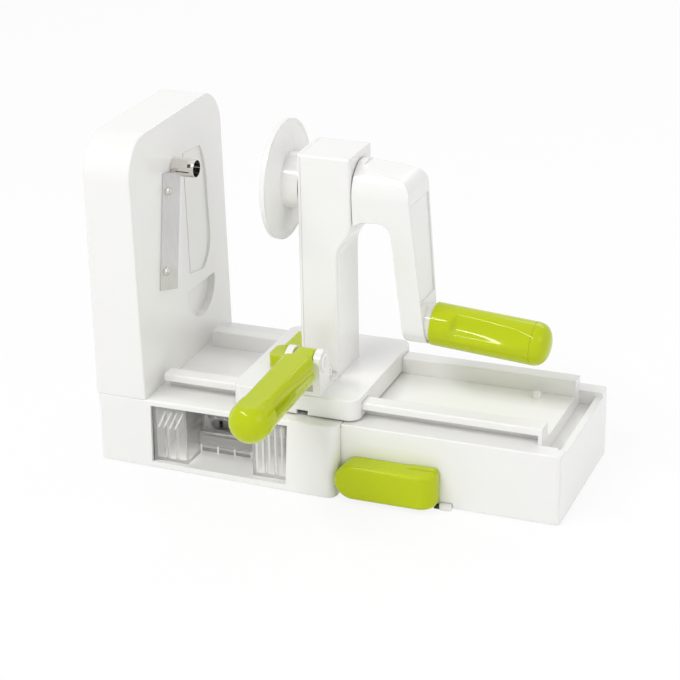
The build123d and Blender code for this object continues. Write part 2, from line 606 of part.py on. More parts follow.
def build_tower_housing():
    """Hollow tower, open at the back, with the throat, the pocket and the scoop in its face."""
    outer = tower_plan(TOWER_END_X, FACE_X + 1, 0) - lean_cut(FACE_X)
    rim = [e for e in outer.faces().sort_by(Axis.X)[-1].edges() if e.center().Z > DECK_Z + 1]
    outer = fillet(rim, EDGE_R)
    hollow = tower_plan(TOWER_END_X - 1, FACE_X + 1, TOWER_WALL) - lean_cut(FACE_X - TOWER_WALL)
    hollow &= block(TOWER_END_X - 2, FACE_X, -FAR, FAR, DECK_Z + TOWER_WALL, TOWER_TOP_Z)
    housing = outer - hollow
    top = face_point(0, POCKET_TOP_Z)[0]
    # pocket beside the throat
    pocket = make_face(
        Polyline((POCKET_LEFT_Y, POCKET_BOTTOM_Z + 4), (POCKET_LEFT_Y, POCKET_TOP_Z),
                 (POCKET_RIGHT_Y - 7.4, POCKET_TOP_Z - 2.5))
        + Spline(
            (POCKET_RIGHT_Y - 7.4, POCKET_TOP_Z - 2.5), (POCKET_RIGHT_Y - 1.8, POCKET_TOP_Z - 17),
            (POCKET_RIGHT_Y, POCKET_TOP_Z - 50), (POCKET_RIGHT_Y - 1, POCKET_BOTTOM_Z + 14),
            (POCKET_RIGHT_Y - 13, POCKET_BOTTOM_Z),
        )
        + Line((POCKET_RIGHT_Y - 13, POCKET_BOTTOM_Z), (POCKET_LEFT_Y, POCKET_BOTTOM_Z + 4))
    )
    pocket_floor = lean_cut(FACE_X - POCKET_DEPTH)
    housing -= slab_yz(pocket, top - 10, FACE_X + 5) & pocket_floor
    line = block(
        top - 1, FACE_X, POCKET_LEFT_Y - 1.2, POCKET_LEFT_Y - 0.4, POCKET_BOTTOM_Z + 4, POCKET_TOP_Z
    )
    housing -= line & lean_cut(FACE_X - 0.6)
    # pad that backs the pocket and the scoop
    scoop = make_face(
        Line((SCOOP_Y - SCOOP_R, SCOOP_TOP_Z), (SCOOP_Y + SCOOP_R, SCOOP_TOP_Z))
        + ThreePointArc(
            (SCOOP_Y + SCOOP_R, SCOOP_TOP_Z), (SCOOP_Y, SCOOP_TOP_Z - SCOOP_R * 1.08),
            (SCOOP_Y - SCOOP_R, SCOOP_TOP_Z),
        )
    )
    wall = offset(scoop, TOWER_WALL)
    housing += slab_yz(wall, FACE_X - SCOOP_DEPTH - TOWER_WALL, FACE_X - TOWER_WALL + 0.5)
    housing -= slab_yz(scoop, FACE_X - SCOOP_DEPTH, FACE_X + 5)
    # throat behind the knife, a clear way through the face
    length = THROAT_TOP_Z - (KNIFE_MID_Z - KNIFE_LENGTH / 2) - 3
    slot = Box(30, THROAT_WIDTH, length)
    slot = fillet(slot.edges().filter_by(Axis.X), 4)
    mid_y = KNIFE_TOP_Y - KNIFE_LENGTH / 2 * sin(radians(KNIFE_SKEW))
    place = Pos(*face_point(mid_y, KNIFE_MID_Z)) * Rot(-KNIFE_SKEW, 0, 0)
    shift = THROAT_INSET + THROAT_WIDTH / 2
    housing -= place * Pos(0, shift, -4) * slot
    housing += knife_seat()
    # socket of the coring tube
    socket_x = FACE_X - 2 * TOWER_WALL
    housing += rod_x(TUBE_R + TOWER_WALL, socket_x - 12, FACE_X - TOWER_WALL - 2, 0, AXLE_Z)
    housing -= rod_x(TUBE_R + RUNNING, TOWER_END_X, FACE_X + 10, 0, AXLE_Z)
    for along in (KNIFE_LENGTH / 2 - RIVET_INSET, RIVET_INSET + 1 - KNIFE_LENGTH / 2):
        y, z = rivet_spot(along)
        housing += rod_x(RIVET_R + 1.5, FACE_X - 12, face_point(y, z)[0] - 1, y, z)
        housing -= rod_x(RIVET_HOLE_R + RUNNING, FACE_X - 10, FACE_X + 8, y, z)
    for x, y in TOWER_SCREWS:
        housing += rod_z(BOSS_R, DECK_Z + 1, DECK_Z + 14, x, y)
        housing -= rod_z(SCREW_R + RUNNING, DECK_Z - 1, DECK_Z + 11, x, y)
    inner = tower_plan(TOWER_END_X - 1, TOWER_END_X + BACK_COVER, TOWER_WALL / 2)
    inner &= block(TOWER_END_X - 2, FACE_X, -FAR, FAR, DECK_Z + TOWER_WALL / 2, TOWER_TOP_Z)
    return housing - inner


def knife_seat():
    """Wedge on the face that the knife is riveted to; it sets the knife's lift."""
    lift = radians(KNIFE_LIFT)
    reach = THROAT_INSET - 0.4
    foot = reach * cos(lift)
    wedge = make_face(Polyline((-1, 0), (0, 0), (reach * sin(lift), foot), (-1, foot), close=True))
    mid_y = KNIFE_TOP_Y - KNIFE_LENGTH / 2 * sin(radians(KNIFE_SKEW))
    place = Pos(*face_point(mid_y, KNIFE_MID_Z)) * Rot(0, -TOWER_LEAN, 0) * Rot(-KNIFE_SKEW, 0, 0)
    seat = place * Pos(0, 0, 1 - KNIFE_LENGTH / 2) * extrude(wedge, KNIFE_LENGTH - 2)
    return seat


def rivet_spot(along):
    """Y and Z of a rivet, near the knife's hinge line."""
    mid_y = KNIFE_TOP_Y - KNIFE_LENGTH / 2 * sin(radians(KNIFE_SKEW))
    skew = radians(KNIFE_SKEW)
    across = RIVET_R + RIVET_HOLE_R
    return (
        mid_y + along * sin(skew) + across * cos(skew),
        KNIFE_MID_Z + along * cos(skew) - across * sin(skew),
    )


def build_tower_back_cover():
    """Cover set into the tower's back, with the window that slices leave by."""
    shrink = TOWER_WALL / 2 + FIT
    cover = tower_plan(TOWER_END_X, TOWER_END_X + BACK_COVER - 0.1, shrink)
    cover &= block(TOWER_END_X - 1, FACE_X, -FAR, FAR, DECK_Z + shrink, TOWER_TOP_Z)
    window = block(TOWER_END_X - 1, FACE_X, -45, 35, 100, 188)
    return cover - fillet(window.edges().filter_by(Axis.X), 12)


def build_tower_screws():
    return group(screws_up(TOWER_SCREWS, DECK_UNDER_Z, DECK_THICKNESS + 10))


def build_knife_blade():
    """Steel strip on its wedge, with one long edge ground sharp and lifted off the face."""
    half = KNIFE_LENGTH / 2
    blade = make_face(Polyline(
        (0, 0), (KNIFE_THICKNESS, 0), (KNIFE_THICKNESS, KNIFE_WIDTH - 3),
        (0.1, KNIFE_WIDTH), (0, KNIFE_WIDTH),
        close=True,
    ))
    blade = knife_place(-half, 0, 0) * extrude(blade, KNIFE_LENGTH)
    # its upper end is folded back against the face
    lift = radians(KNIFE_LIFT)
    depth = KNIFE_WIDTH * tan(lift) * 0.96
    edge = KNIFE_WIDTH - 0.5
    fold = make_face(Polyline((0.05, 0.8), (0.05, edge), (-depth, edge), close=True))
    blade += knife_place(half - KNIFE_THICKNESS, 0, 0) * extrude(fold, KNIFE_THICKNESS)
    for along in (half - RIVET_INSET, RIVET_INSET + 1 - half):
        y, z = rivet_spot(along)
        blade -= rod_x(RIVET_HOLE_R + RUNNING, FACE_X - 12, FACE_X + 12, y, z)
    return blade - rod_x(TUBE_R + RUNNING, TOWER_END_X, FACE_X + 20, 0, AXLE_Z)


def build_knife_rivets():
    """Two round headed rivets through the knife."""
    rivets = []
    for along in (KNIFE_LENGTH / 2 - RIVET_INSET, RIVET_INSET + 1 - KNIFE_LENGTH / 2):
        y, z = rivet_spot(along)
        across = RIVET_R + RIVET_HOLE_R
        head = knife_place(along, across, KNIFE_THICKNESS + 0.5) * Rot(0, 90, 0) * Cylinder(RIVET_R, 1.0)
        head = fillet(head.edges().sort_by(Axis.X)[-1], 0.4)
        shank = rod_x(RIVET_HOLE_R, FACE_X - 9, face_point(y, z)[0] + 3.6, y, z)
        rivets.append(head + shank)
    return group(rivets)


def build_coring_tube():
    """Thin steel tube round the crank's axis that cuts out the core."""
    tip = face_point(0, AXLE_Z)[0] + TUBE_REACH
    tube = rod_x(TUBE_R, FACE_X - 2 * TOWER_WALL - 10, tip, 0, AXLE_Z)
    tube -= rod_x(TUBE_R - TUBE_WALL, TOWER_END_X, tip + 1, 0, AXLE_Z)
    tube -= block(tip - 13, tip - 3, -TUBE_R - 1, 0, AXLE_Z - 1.6, AXLE_Z - 0.8)
    return tube - block(tip - 4.6, tip - 2, -TUBE_R - 1, 0, AXLE_Z + 2.2, AXLE_Z + 4.2)


# ---------------------------------------------------------------- storage drawer
DRAWER_BOTTOM_Z = COVER_TOP_Z + SLIDE_GAP
DRAWER_TOP_Z = WINDOW_TOP_Z - WINDOW_GAP
DRAWER_BACK_Y = DRAWER_FRONT_Y + DRAWER_DEPTH
RECESS_BACK_Y = DRAWER_FRONT_Y + RECESS_DEPTH


def build_storage_drawer():
    """Clear tray with a finger recess in the middle of its front."""
    w = DRAWER_WIDTH / 2
    r = RECESS_WIDTH / 2
    t = DRAWER_WALL
    tray = block(-w, w, DRAWER_FRONT_Y, DRAWER_BACK_Y, DRAWER_BOTTOM_Z, DRAWER_TOP_Z)
    floor = DRAWER_BOTTOM_Z + t
    tray -= block(t - w, w - t, DRAWER_FRONT_Y + t, DRAWER_BACK_Y - t, floor, DRAWER_TOP_Z + 1)
    tray += block(-r - t, r + t, DRAWER_FRONT_Y, RECESS_BACK_Y + t, DRAWER_BOTTOM_Z, DRAWER_TOP_Z)
    tray -= block(-r, r, DRAWER_FRONT_Y - 1, RECESS_BACK_Y, DRAWER_BOTTOM_Z - 1, DRAWER_TOP_Z + 1)
    tray += block(
        -r - 0.5, r + 0.5, RECESS_BACK_Y - SHELF_DEPTH, RECESS_BACK_Y + 0.5, SHELF_BOTTOM_Z, SHELF_TOP_Z
    )
    slot = Box(SLOT_WIDTH, 4 * t, SLOT_HEIGHT)
    slot = fillet(slot.edges().filter_by(Axis.Y), SLOT_HEIGHT / 2 - 0.2)
    slot_z = SHELF_TOP_Z + SLOT_HEIGHT / 2 + 2
    tray -= Pos(0, RECESS_BACK_Y + t / 2, slot_z) * slot
    # stiffening ribs inside the two front blocks
    for x in (-w + 9, -r - 9, r + 9, w - 9):
        tray += block(
            x - t / 2, x + t / 2, DRAWER_FRONT_Y + t / 2, DRAWER_FRONT_Y + 4,
            DRAWER_BOTTOM_Z + 1, DRAWER_TOP_Z,
        )
    return Pos(DRAWER_X, 0, 0) * tray


INSERT_Z = DRAWER_BOTTOM_Z + DRAWER_WALL
INSERT_Y = {"coarse": RECESS_BACK_Y + DRAWER_WALL + 4, "fine": RECESS_BACK_Y + DRAWER_WALL + 36}


def build_insert_carrier(kind):
    """Carrier bar of a spare blade insert, with a slot that its comb stands in."""
    y = INSERT_Y[kind]
    x = DRAWER_X
    half = INSERT_LENGTH / 2
    bar = block(x - half, x + half, y, y + INSERT_WIDTH, INSERT_Z, INSERT_Z + INSERT_HEIGHT)
    bar = fillet(bar.edges().filter_by(Axis.Z), 4)
    mid = y + INSERT_WIDTH / 2
    window = block(x - half + 8, x + half - 8, mid + 3, y + INSERT_WIDTH - 3, 0, DECK_Z)
    bar -= window
    return bar - insert_strip(kind, RUNNING)


def insert_strip(kind, room=0.0):
    """The straight foot of a comb, let into its carrier."""
    x = DRAWER_X
    mid = INSERT_Y[kind] + INSERT_WIDTH / 2
    half = INSERT_LENGTH / 2 - 6 + room
    thick = TOOTH_THICKNESS / 2 + room
    top = INSERT_Z + INSERT_HEIGHT + (1 if room else 0)
    return block(x - half, x + half, mid - thick, mid + thick, INSERT_Z + 3 - room, top)


def build_insert_comb(kind):
    """Steel comb: evenly spaced pointed teeth, wide or narrow."""
    count = {"coarse": 9, "fine": 17}[kind]
    pitch = (INSERT_LENGTH - 16) / count
    mid = INSERT_Y[kind] + INSERT_WIDTH / 2
    comb = insert_strip(kind)
    z = INSERT_Z + INSERT_HEIGHT
    for tooth in range(count):
        x = DRAWER_X + (tooth - (count - 1) / 2) * pitch
        half = pitch * 0.3
        face = make_face(Polyline(
            (x - half, z - 0.5), (x + half, z - 0.5), (x + half, z + TOOTH_HEIGHT * 0.6),
            (x - half * 0.2, z + TOOTH_HEIGHT), (x - half, z + TOOTH_HEIGHT * 0.6), close=True,
        ))
        comb += slab_xz(face, mid - TOOTH_THICKNESS / 2, mid + TOOTH_THICKNESS / 2)
    return comb


# ---------------------------------------------------------------- carriage
PLATE_LEFT_X = PLATE_X - PLATE_LENGTH / 2
PLATE_RIGHT_X = PLATE_X + PLATE_LENGTH / 2
COLUMN_SCREWS = [
    (COLUMN_X + inset, side * (COLUMN_HALF_DEPTH - 7))
    for inset in (8.0, COLUMN_WIDTH - 7)
    for side in (-1, 1)
]
BRACKET_SCREWS = [(EAR_X - 6, 6 - WEB_INNER + 2), (EAR_X + 6, 6 - WEB_INNER + 2)]


def build_carriage_plate():
    """Sliding plate: its skirts wrap the rails and its lips run under their flanges."""
    half = PLATE_HALF_WIDTH
    plate = block(PLATE_LEFT_X, PLATE_RIGHT_X, -half, half, PLATE_BOTTOM_Z, PLATE_TOP_Z)
    plate = fillet(plate.edges().filter_by(Axis.Z), PLATE_CORNER_R)
    plate = fillet(plate.faces().sort_by(Axis.Z)[-1].edges(), EDGE_R)
    ends = (PLATE_LEFT_X - 1, PLATE_RIGHT_X + 1)
    roof = RAIL_TOP_Z + SLIDE_GAP
    for side in (-1, 1):
        inner = side * (WEB_INNER - SLIDE_GAP)
        web = side * (WEB_OUTER + SLIDE_GAP)
        rim = side * (FLANGE_HALF_WIDTH + SLIDE_GAP)
        plate -= block(*ends, min(inner, web), max(inner, web), PLATE_BOTTOM_Z - 1, roof)
        plate -= block(*ends, min(inner, rim), max(inner, rim), FLANGE_BOTTOM_Z - SLIDE_GAP, roof)
        lip0 = side * (FLANGE_HALF_WIDTH + 3.4)
        lip1 = side * (PLATE_HALF_WIDTH - 2.8)
        plate -= block(
            PLATE_LEFT_X + PLATE_CORNER_R, PLATE_RIGHT_X - PLATE_CORNER_R,
            min(lip0, lip1), max(lip0, lip1), PLATE_BOTTOM_Z - 1, PLATE_TOP_Z - PLATE_ROOF,
        )
    core = WEB_INNER - SLIDE_GAP - 3
    plate -= block(
        PLATE_LEFT_X + 3, PLATE_RIGHT_X - 3, -core, core, PLATE_BOTTOM_Z - 1, PLATE_TOP_Z - PLATE_ROOF,
    )
    for x, y in COLUMN_SCREWS + BRACKET_SCREWS:
        plate -= rod_z(SCREW_R + RUNNING, PLATE_BOTTOM_Z - 1, PLATE_TOP_Z + 1, x, y)
    notch_x = COLUMN_RIGHT_X - 13
    return plate - block(notch_x - 4, notch_x + 4, -PLATE_HALF_WIDTH - 1, 4 - PLATE_HALF_WIDTH,
                         PLATE_BOTTOM_Z - 1, PLATE_BOTTOM_Z + 3)


def column_outline(inset):
    """Side view of the column: a plain post that swells into its head towards the crank."""
    x0 = COLUMN_X + inset
    x1 = COLUMN_RIGHT_X - inset
    x2 = HEAD_RIGHT_X - inset
    top = COLUMN_TOP_Z - inset
    middle = (HEAD_CURVE_Z + HEAD_BOTTOM_Z) / 2
    sides = Polyline(
        (x2, HEAD_BOTTOM_Z), (x2, top), (x0, top),
        (x0, PLATE_TOP_Z), (x1, PLATE_TOP_Z), (x1, HEAD_CURVE_Z),
    )
    swell = Bezier((x1, HEAD_CURVE_Z), (x1, middle), (x2, middle), (x2, HEAD_BOTTOM_Z))
    return make_face(Wire(sides.edges() + swell.edges()))


COVER_SPLIT_X = COLUMN_X + COLUMN_WALL


def column_solid():
    post = slab_xz(column_outline(0), -COLUMN_HALF_DEPTH, COLUMN_HALF_DEPTH)
    long_edges = [
        e for e in post.edges()
        if abs(abs(e.center().Y) - COLUMN_HALF_DEPTH) < 0.01 and e.center().Z > PLATE_TOP_Z + 1
    ]
    post = fillet(long_edges, COLUMN_EDGE_R)
    return post


def build_column_shell():
    """Hollow post, open towards the tower, with a tube through its head for the axle."""
    shell = column_solid() & block(COVER_SPLIT_X, FAR, -FAR, FAR, 0, FAR)
    y = COLUMN_HALF_DEPTH - COLUMN_WALL
    cavity = slab_xz(column_outline(COLUMN_WALL), -y, y)
    cavity &= block(-FAR, FAR, -FAR, FAR, PLATE_TOP_Z + 4, FAR)
    tube = rod_x(BUSH_R + 3, COVER_SPLIT_X, HEAD_RIGHT_X - 1, 0, AXLE_Z)
    shell -= cavity - tube
    for z in (PLATE_TOP_Z + COLUMN_HALF_DEPTH * 2, HEAD_CURVE_Z - 2 * BOSS_R):
        shell += block(COVER_SPLIT_X, COLUMN_RIGHT_X - 1, -y - 0.5, y + 0.5, z, z + 2)
    shell -= rod_x(BUSH_R + RUNNING, COLUMN_X - 1, HEAD_RIGHT_X + 1, 0, AXLE_Z)
    for x, y in COLUMN_SCREWS:
        if x > COVER_SPLIT_X + 3:
            boss = rod_z(BOSS_R, PLATE_TOP_Z + 3, PLATE_TOP_Z + 16, x, y)
            shell += boss & block(COVER_SPLIT_X, FAR, -FAR, FAR, 0, FAR)
            shell -= rod_z(SCREW_R + RUNNING, PLATE_TOP_Z - 1, PLATE_TOP_Z + 13, x, y)
    for y, z in COVER_BOSSES:
        wall_x = HEAD_RIGHT_X if z > HEAD_BOTTOM_Z else COLUMN_RIGHT_X
        shell += rod_x(BOSS_R, COVER_SPLIT_X, wall_x - 1, y, z)
        shell -= rod_x(SCREW_R + RUNNING, COVER_SPLIT_X - 1, COVER_SPLIT_X + 11, y, z)
    return shell


COVER_BOSSES = [(0.0, PLATE_TOP_Z + 34), (0.0, HEAD_CURVE_Z + 4), (0.0, COLUMN_TOP_Z - 9)]


def build_column_cover():
    """Plate that closes the column on the tower's side."""
    cover = column_solid() & block(COLUMN_X - 1, COVER_SPLIT_X - 0.1, -FAR, FAR, 0, FAR)
    cover -= rod_x(BUSH_R + RUNNING, COLUMN_X - 1, HEAD_RIGHT_X, 0, AXLE_Z)
    for y, z in COVER_BOSSES:
        cover -= rod_x(SCREW_R + RUNNING, COLUMN_X - 1, COLUMN_X + 5, y, z)
        cover -= rod_x(SCREW_HEAD_R + RUNNING, COLUMN_X - 1, COLUMN_X + SCREW_HEAD, y, z)
    return cover


def build_column_cover_screws():
    return group(
        rod_x(SCREW_HEAD_R, COLUMN_X + 0.1, COLUMN_X + SCREW_HEAD, y, z)
        + rod_x(SCREW_R, COLUMN_X + SCREW_HEAD, COLUMN_X + 12, y, z)
        for y, z in COVER_BOSSES
    )


def build_column_screws():
    under = PLATE_TOP_Z - PLATE_ROOF
    return group(screws_up(COLUMN_SCREWS + BRACKET_SCREWS, under, PLATE_ROOF + 6))


def build_shaft_bush(end):
    """Plain bearing pressed into one end of the column's tube."""
    x0, x1 = {
        "rear": (COLUMN_X, COLUMN_X + BUSH_LENGTH),
        "front": (HEAD_RIGHT_X - BUSH_LENGTH, HEAD_RIGHT_X),
    }[end]
    return rod_x(BUSH_R, x0, x1, 0, AXLE_Z) - rod_x(AXLE_R + RUNNING, x0 - 1, x1 + 1, 0, AXLE_Z)


EAR_HALF = EAR_GAP / 2 + EAR_THICKNESS


def build_handle_bracket():
    """Two round ears on a foot that stands on the plate in front of the column."""
    base_z = PLATE_TOP_Z
    foot = block(
        EAR_X - EAR_HALF, EAR_X + EAR_HALF, EAR_Y - EAR_R, -COLUMN_HALF_DEPTH - 0.2, base_z, base_z + 3
    )
    foot = fillet(foot.edges().filter_by(Axis.Z), 1.0)
    for side in (-1, 1):
        x0 = EAR_X + side * EAR_GAP / 2
        x1 = EAR_X + side * EAR_HALF
        ear = rod_x(EAR_R, min(x0, x1), max(x0, x1), EAR_Y, HANDLE_PIN_Z)
        ear += block(min(x0, x1), max(x0, x1), EAR_Y - EAR_R, EAR_Y + EAR_R, base_z, HANDLE_PIN_Z)
        foot += ear
    foot -= rod_x(HANDLE_PIN_R + RUNNING, EAR_X - 20, EAR_X + 20, EAR_Y, HANDLE_PIN_Z)
    for x, y in BRACKET_SCREWS:
        foot += rod_z(BOSS_R - 0.5, base_z + 1, base_z + 8, x, y)
        foot -= rod_z(SCREW_R + RUNNING, base_z - 1, base_z + 6.5, x, y)
    return foot


def build_handle_pin():
    """Pin through both ears, with a flat head at each end."""
    pin = rod_x(HANDLE_PIN_R, EAR_X - EAR_HALF, EAR_X + EAR_HALF, EAR_Y, HANDLE_PIN_Z)
    for side in (-1, 1):
        x0 = EAR_X + side * EAR_HALF
        x1 = x0 + side * 1.0
        pin += rod_x(HANDLE_PIN_R + 1.5, min(x0, x1), max(x0, x1), EAR_Y, HANDLE_PIN_Z)
    return pin


# ---------------------------------------------------------------- push handle
def build_push_handle():
    """Rounded bar with a flat top, hinged on the ears so that it can fold up."""
    neck_start = EAR_R + 2.2
    bar_r = HANDLE_R - HANDLE_WAIST
    bar_end = -neck_start - HANDLE_R * 0.5
    shaft = rod_y(bar_r, -HANDLE_LENGTH, bar_end, 0, 0)
    for side in (-1, 1):
        mouth = side * (bar_r + 2)
        groove = make_face(Polyline(
            (mouth, -4.0), (mouth, 4.0), (side * (bar_r - HANDLE_GROOVE), 0.5),
            close=True,
        ))
        length = HANDLE_LENGTH + bar_end
        cutter = Pos(0, bar_end + 2, 0) * extrude(Plane.XZ * groove, length)
        shaft -= Pos(0, bar_end, 0) * Rot(0, 0, side * -1.6) * Pos(side * 1.6, -bar_end, 0) * cutter
    shaft += rod_y(HANDLE_R, -HANDLE_LENGTH, HANDLE_END - HANDLE_LENGTH, 0, 0)
    shaft += Pos(0, -HANDLE_LENGTH, 0) * Sphere(HANDLE_R)
    shoulder = Pos(0, bar_end, 0) * Sphere(bar_r)
    shaft += shoulder & block(-FAR, FAR, -neck_start - HANDLE_R, -neck_start, -FAR, FAR)
    shaft -= block(-FAR, FAR, -FAR, FAR, HANDLE_FLAT, FAR)
    shaft -= block(-FAR, FAR, HANDLE_END - HANDLE_LENGTH, bar_end + 3, HANDLE_FLAT - 0.6, FAR)
    barrel_half = EAR_GAP / 2 - SLIDE_GAP
    knuckle = rod_x(EAR_R - 0.6, -barrel_half, barrel_half)
    knuckle += block(-barrel_half, barrel_half, -neck_start - 6, 0, 0.6 - EAR_R, EAR_R - 0.6)
    handle = Rot(HANDLE_DROOP, 0, 0) * (shaft + knuckle)
    handle -= rod_x(HANDLE_PIN_R + RUNNING, -30, 30)
    return Pos(EAR_X, EAR_Y, HANDLE_PIN_Z) * handle


# ---------------------------------------------------------------- release latch
def build_release_latch():
    """Two stepped thumb pads on one lever that pivots beside the column."""
    r = 4.0
    y0 = LATCH_Y - LATCH_WIDTH / 2
    y1 = LATCH_Y + LATCH_WIDTH / 2
    upper = rod_y(r, y0, y1, LATCH_PIN_X, LATCH_PIN_Z)
    upper += block(LATCH_PIN_X - 8.5, LATCH_PIN_X, y0, y1, LATCH_PIN_Z - r, LATCH_PIN_Z + r)
    t0 = THUMB_Y - THUMB_WIDTH / 2
    t1 = THUMB_Y + THUMB_WIDTH / 2
    lower = block(LATCH_PIN_X - 19.5, LATCH_PIN_X - 7, t0, t1, PLATE_TOP_Z + 1, LATCH_PIN_Z - 3)
    corners = [e for e in lower.edges().filter_by(Axis.Z) if e.center().X < LATCH_PIN_X - 15]
    lower = fillet(corners, 5)
    latch = upper + lower
    return latch - rod_y(LATCH_PIN_R + RUNNING, y0 - 1, y1 + 1, LATCH_PIN_X, LATCH_PIN_Z)


def build_latch_bracket():
    """Two cheeks on the plate that hold the latch's pin."""
    foot_z = PLATE_TOP_Z
    cheeks = []
    for side in (-1, 1):
        inner = LATCH_Y + side * (LATCH_WIDTH / 2 + SLIDE_GAP)
        outer = inner + side * CHEEK_THICKNESS
        y0 = min(inner, outer)
        y1 = max(inner, outer)
        cheek = block(LATCH_PIN_X - CHEEK_R, LATCH_PIN_X + CHEEK_R, y0, y1, foot_z, LATCH_PIN_Z)
        cheek += rod_y(CHEEK_R, y0, y1, LATCH_PIN_X, LATCH_PIN_Z)
        cheeks.append(cheek - rod_y(LATCH_PIN_R + RUNNING, -50, 50, LATCH_PIN_X, LATCH_PIN_Z))
    return group(cheeks)


def build_latch_pin():
    reach = LATCH_WIDTH / 2 + SLIDE_GAP + CHEEK_THICKNESS
    return rod_y(LATCH_PIN_R, LATCH_Y - reach, LATCH_Y + reach, LATCH_PIN_X, LATCH_PIN_Z)


# ---------------------------------------------------------------- crank
def build_crank_shaft():
    return rod_x(AXLE_R, DISC_BACK_X + 1, ARM_OUT_X - 8, 0, AXLE_Z)


def build_shaft_ring():
    """Split ring on the axle, inside the column, that keeps it from sliding out."""
    x = COLUMN_X + BUSH_LENGTH + SLIDE_GAP
    ring = rod_x(AXLE_R + 2.4, x, x + 1.2, 0, AXLE_Z) - rod_x(AXLE_R, x - 1, x + 3, 0, AXLE_Z)
    return ring - block(x - 1, x + 3, -1.5, 1.5, AXLE_Z, AXLE_Z + 20)


def build_food_disc():
    """Dished disc with a ring of prongs that grips the food and turns it."""
    back = DISC_BACK_X
    hub_end = COLUMN_X - 0.6
    profile = make_face(Polyline(
        (back + DISC_DISH - 3.4, 0), (back + DISC_DISH - 3.4, 14), (back - DISC_RIM, DISC_R - 5),
        (back - DISC_RIM, DISC_R), (back, DISC_R), (back, DISC_R - 2.6), (back + DISC_DISH, DISC_HUB_R + 2),
        (back + DISC_DISH, DISC_HUB_R), (hub_end, DISC_HUB_R - 1), (hub_end, 0), close=True,
    ))
    disc = Pos(0, 0, AXLE_Z) * revolve(Plane.XY * profile, Axis.X)
    hollow = rod_x(DISC_HUB_R - 3, hub_end - 8, hub_end + 1, 0, AXLE_Z)
    disc -= hollow - rod_x(AXLE_R + 3, hub_end - 9, hub_end + 2, 0, AXLE_Z)
    base = back + 0.5
    length = PRONG_LENGTH + 3
    for count, ring_r in ((6, DISC_HUB_R * 0.55), (12, DISC_HUB_R + PRONG_R * 2)):
        for step in range(count):
            angle = 2 * pi * step / count
            y = ring_r * cos(angle)
            z = AXLE_Z + ring_r * sin(angle)
            disc += Pos(base - length / 2, y, z) * Rot(0, -90, 0) * Cone(PRONG_R, 0.35, length)
    return disc - rod_x(AXLE_R, back + 1, COLUMN_X, 0, AXLE_Z)


GRIP_DIR = (cos(radians(GRIP_TILT)), -sin(radians(GRIP_TILT)))


def grip_place(along):
    """Place on the grip's axis, with local X running out along it."""
    arm_face = ARM_OUT_X + (AXLE_Z - CRANK_THROW_Z) * tan(radians(ARM_SLANT))
    x = arm_face + along * GRIP_DIR[0]
    z = CRANK_THROW_Z + along * GRIP_DIR[1]
    return Pos(x, 0, z) * Rot(0, GRIP_TILT, 0)


def build_crank_arm():
    """Hub and arm in one moulding: the arm tapers in width and leans outwards as it drops."""
    lean = tan(radians(ARM_SLANT))
    drop = AXLE_Z - CRANK_THROW_Z
    tip_z = CRANK_THROW_Z - CRANK_END_R - 1
    tip_x = ARM_OUT_X + (AXLE_Z - tip_z) * lean
    under = AXLE_Z - CRANK_NECK_R
    side = rounded(
        [
            (HUB_X, AXLE_Z + CRANK_HUB_R + 1), (HUB_X + 6, AXLE_Z + CRANK_NECK_R + 1.0),
            (ARM_OUT_X - 0.4, AXLE_Z + CRANK_NECK_R - 6), (ARM_OUT_X, AXLE_Z),
            (tip_x, tip_z), (tip_x - ARM_THICKNESS, tip_z),
            (ARM_OUT_X - ARM_THICKNESS + (AXLE_Z - under) * lean, under), (HUB_X + 6, under - 1),
            (HUB_X, AXLE_Z - CRANK_HUB_R - 1),
        ],
        [0, 3, 10, 0.5, 3, 3, 9, 3, 0],
    )
    body = slab_xz(side, -CRANK_HUB_R - 1, CRANK_HUB_R + 1)
    hub = Pos(0, AXLE_Z) * Circle(CRANK_HUB_R)
    foot = Pos(0, CRANK_THROW_Z) * Circle(CRANK_END_R)
    front = make_hull(hub.edges() + foot.edges())
    body &= slab_yz(front, HUB_X - 1, tip_x + 5)
    body += rod_x(CRANK_HUB_R, HUB_X, HUB_X + 5, 0, AXLE_Z)
    # shallow panel let into the arm's outer face
    low = CRANK_THROW_Z + CRANK_END_R + 4
    high = AXLE_Z - 4
    sunk = ARM_OUT_X - ARM_PANEL
    panel = make_face(Polyline(
        (sunk + (AXLE_Z - low) * lean, low), (FAR, low), (FAR, high), (sunk + (AXLE_Z - high) * lean, high),
        close=True,
    ))
    body -= slab_xz(panel, -FAR, FAR) & slab_yz(offset(front, -ARM_LIP), HUB_X, tip_x + 5)
    # neck that the grip butts against
    body += grip_place((COLLAR_LENGTH - 6) / 2) * Rot(0, 90, 0) * Cylinder(ARM_NECK_R, COLLAR_LENGTH + 6)
    body -= rod_x(AXLE_R, HUB_X - 1, ARM_OUT_X - 8, 0, AXLE_Z)
    seat_depth = COLLAR_LENGTH + 9
    seat = grip_place(seat_depth / 2 - 8) * Rot(0, 90, 0) * Cylinder(COLLAR_R + RUNNING, seat_depth)
    shank = grip_place(-9) * Rot(0, 90, 0) * Cylinder(SPINDLE_R, 8)
    return body - seat - shank


def build_grip_spindle():
    """Spindle with a collar, let into the arm, that the grip turns on."""
    collar = grip_place((COLLAR_LENGTH - 8) / 2) * Rot(0, 90, 0) * Cylinder(COLLAR_R, COLLAR_LENGTH + 8)
    reach = COLLAR_LENGTH + GRIP_LENGTH - CAP_LENGTH - 6
    shank = grip_place((reach - 13) / 2) * Rot(0, 90, 0) * Cylinder(SPINDLE_R, reach + 13)
    return collar + shank


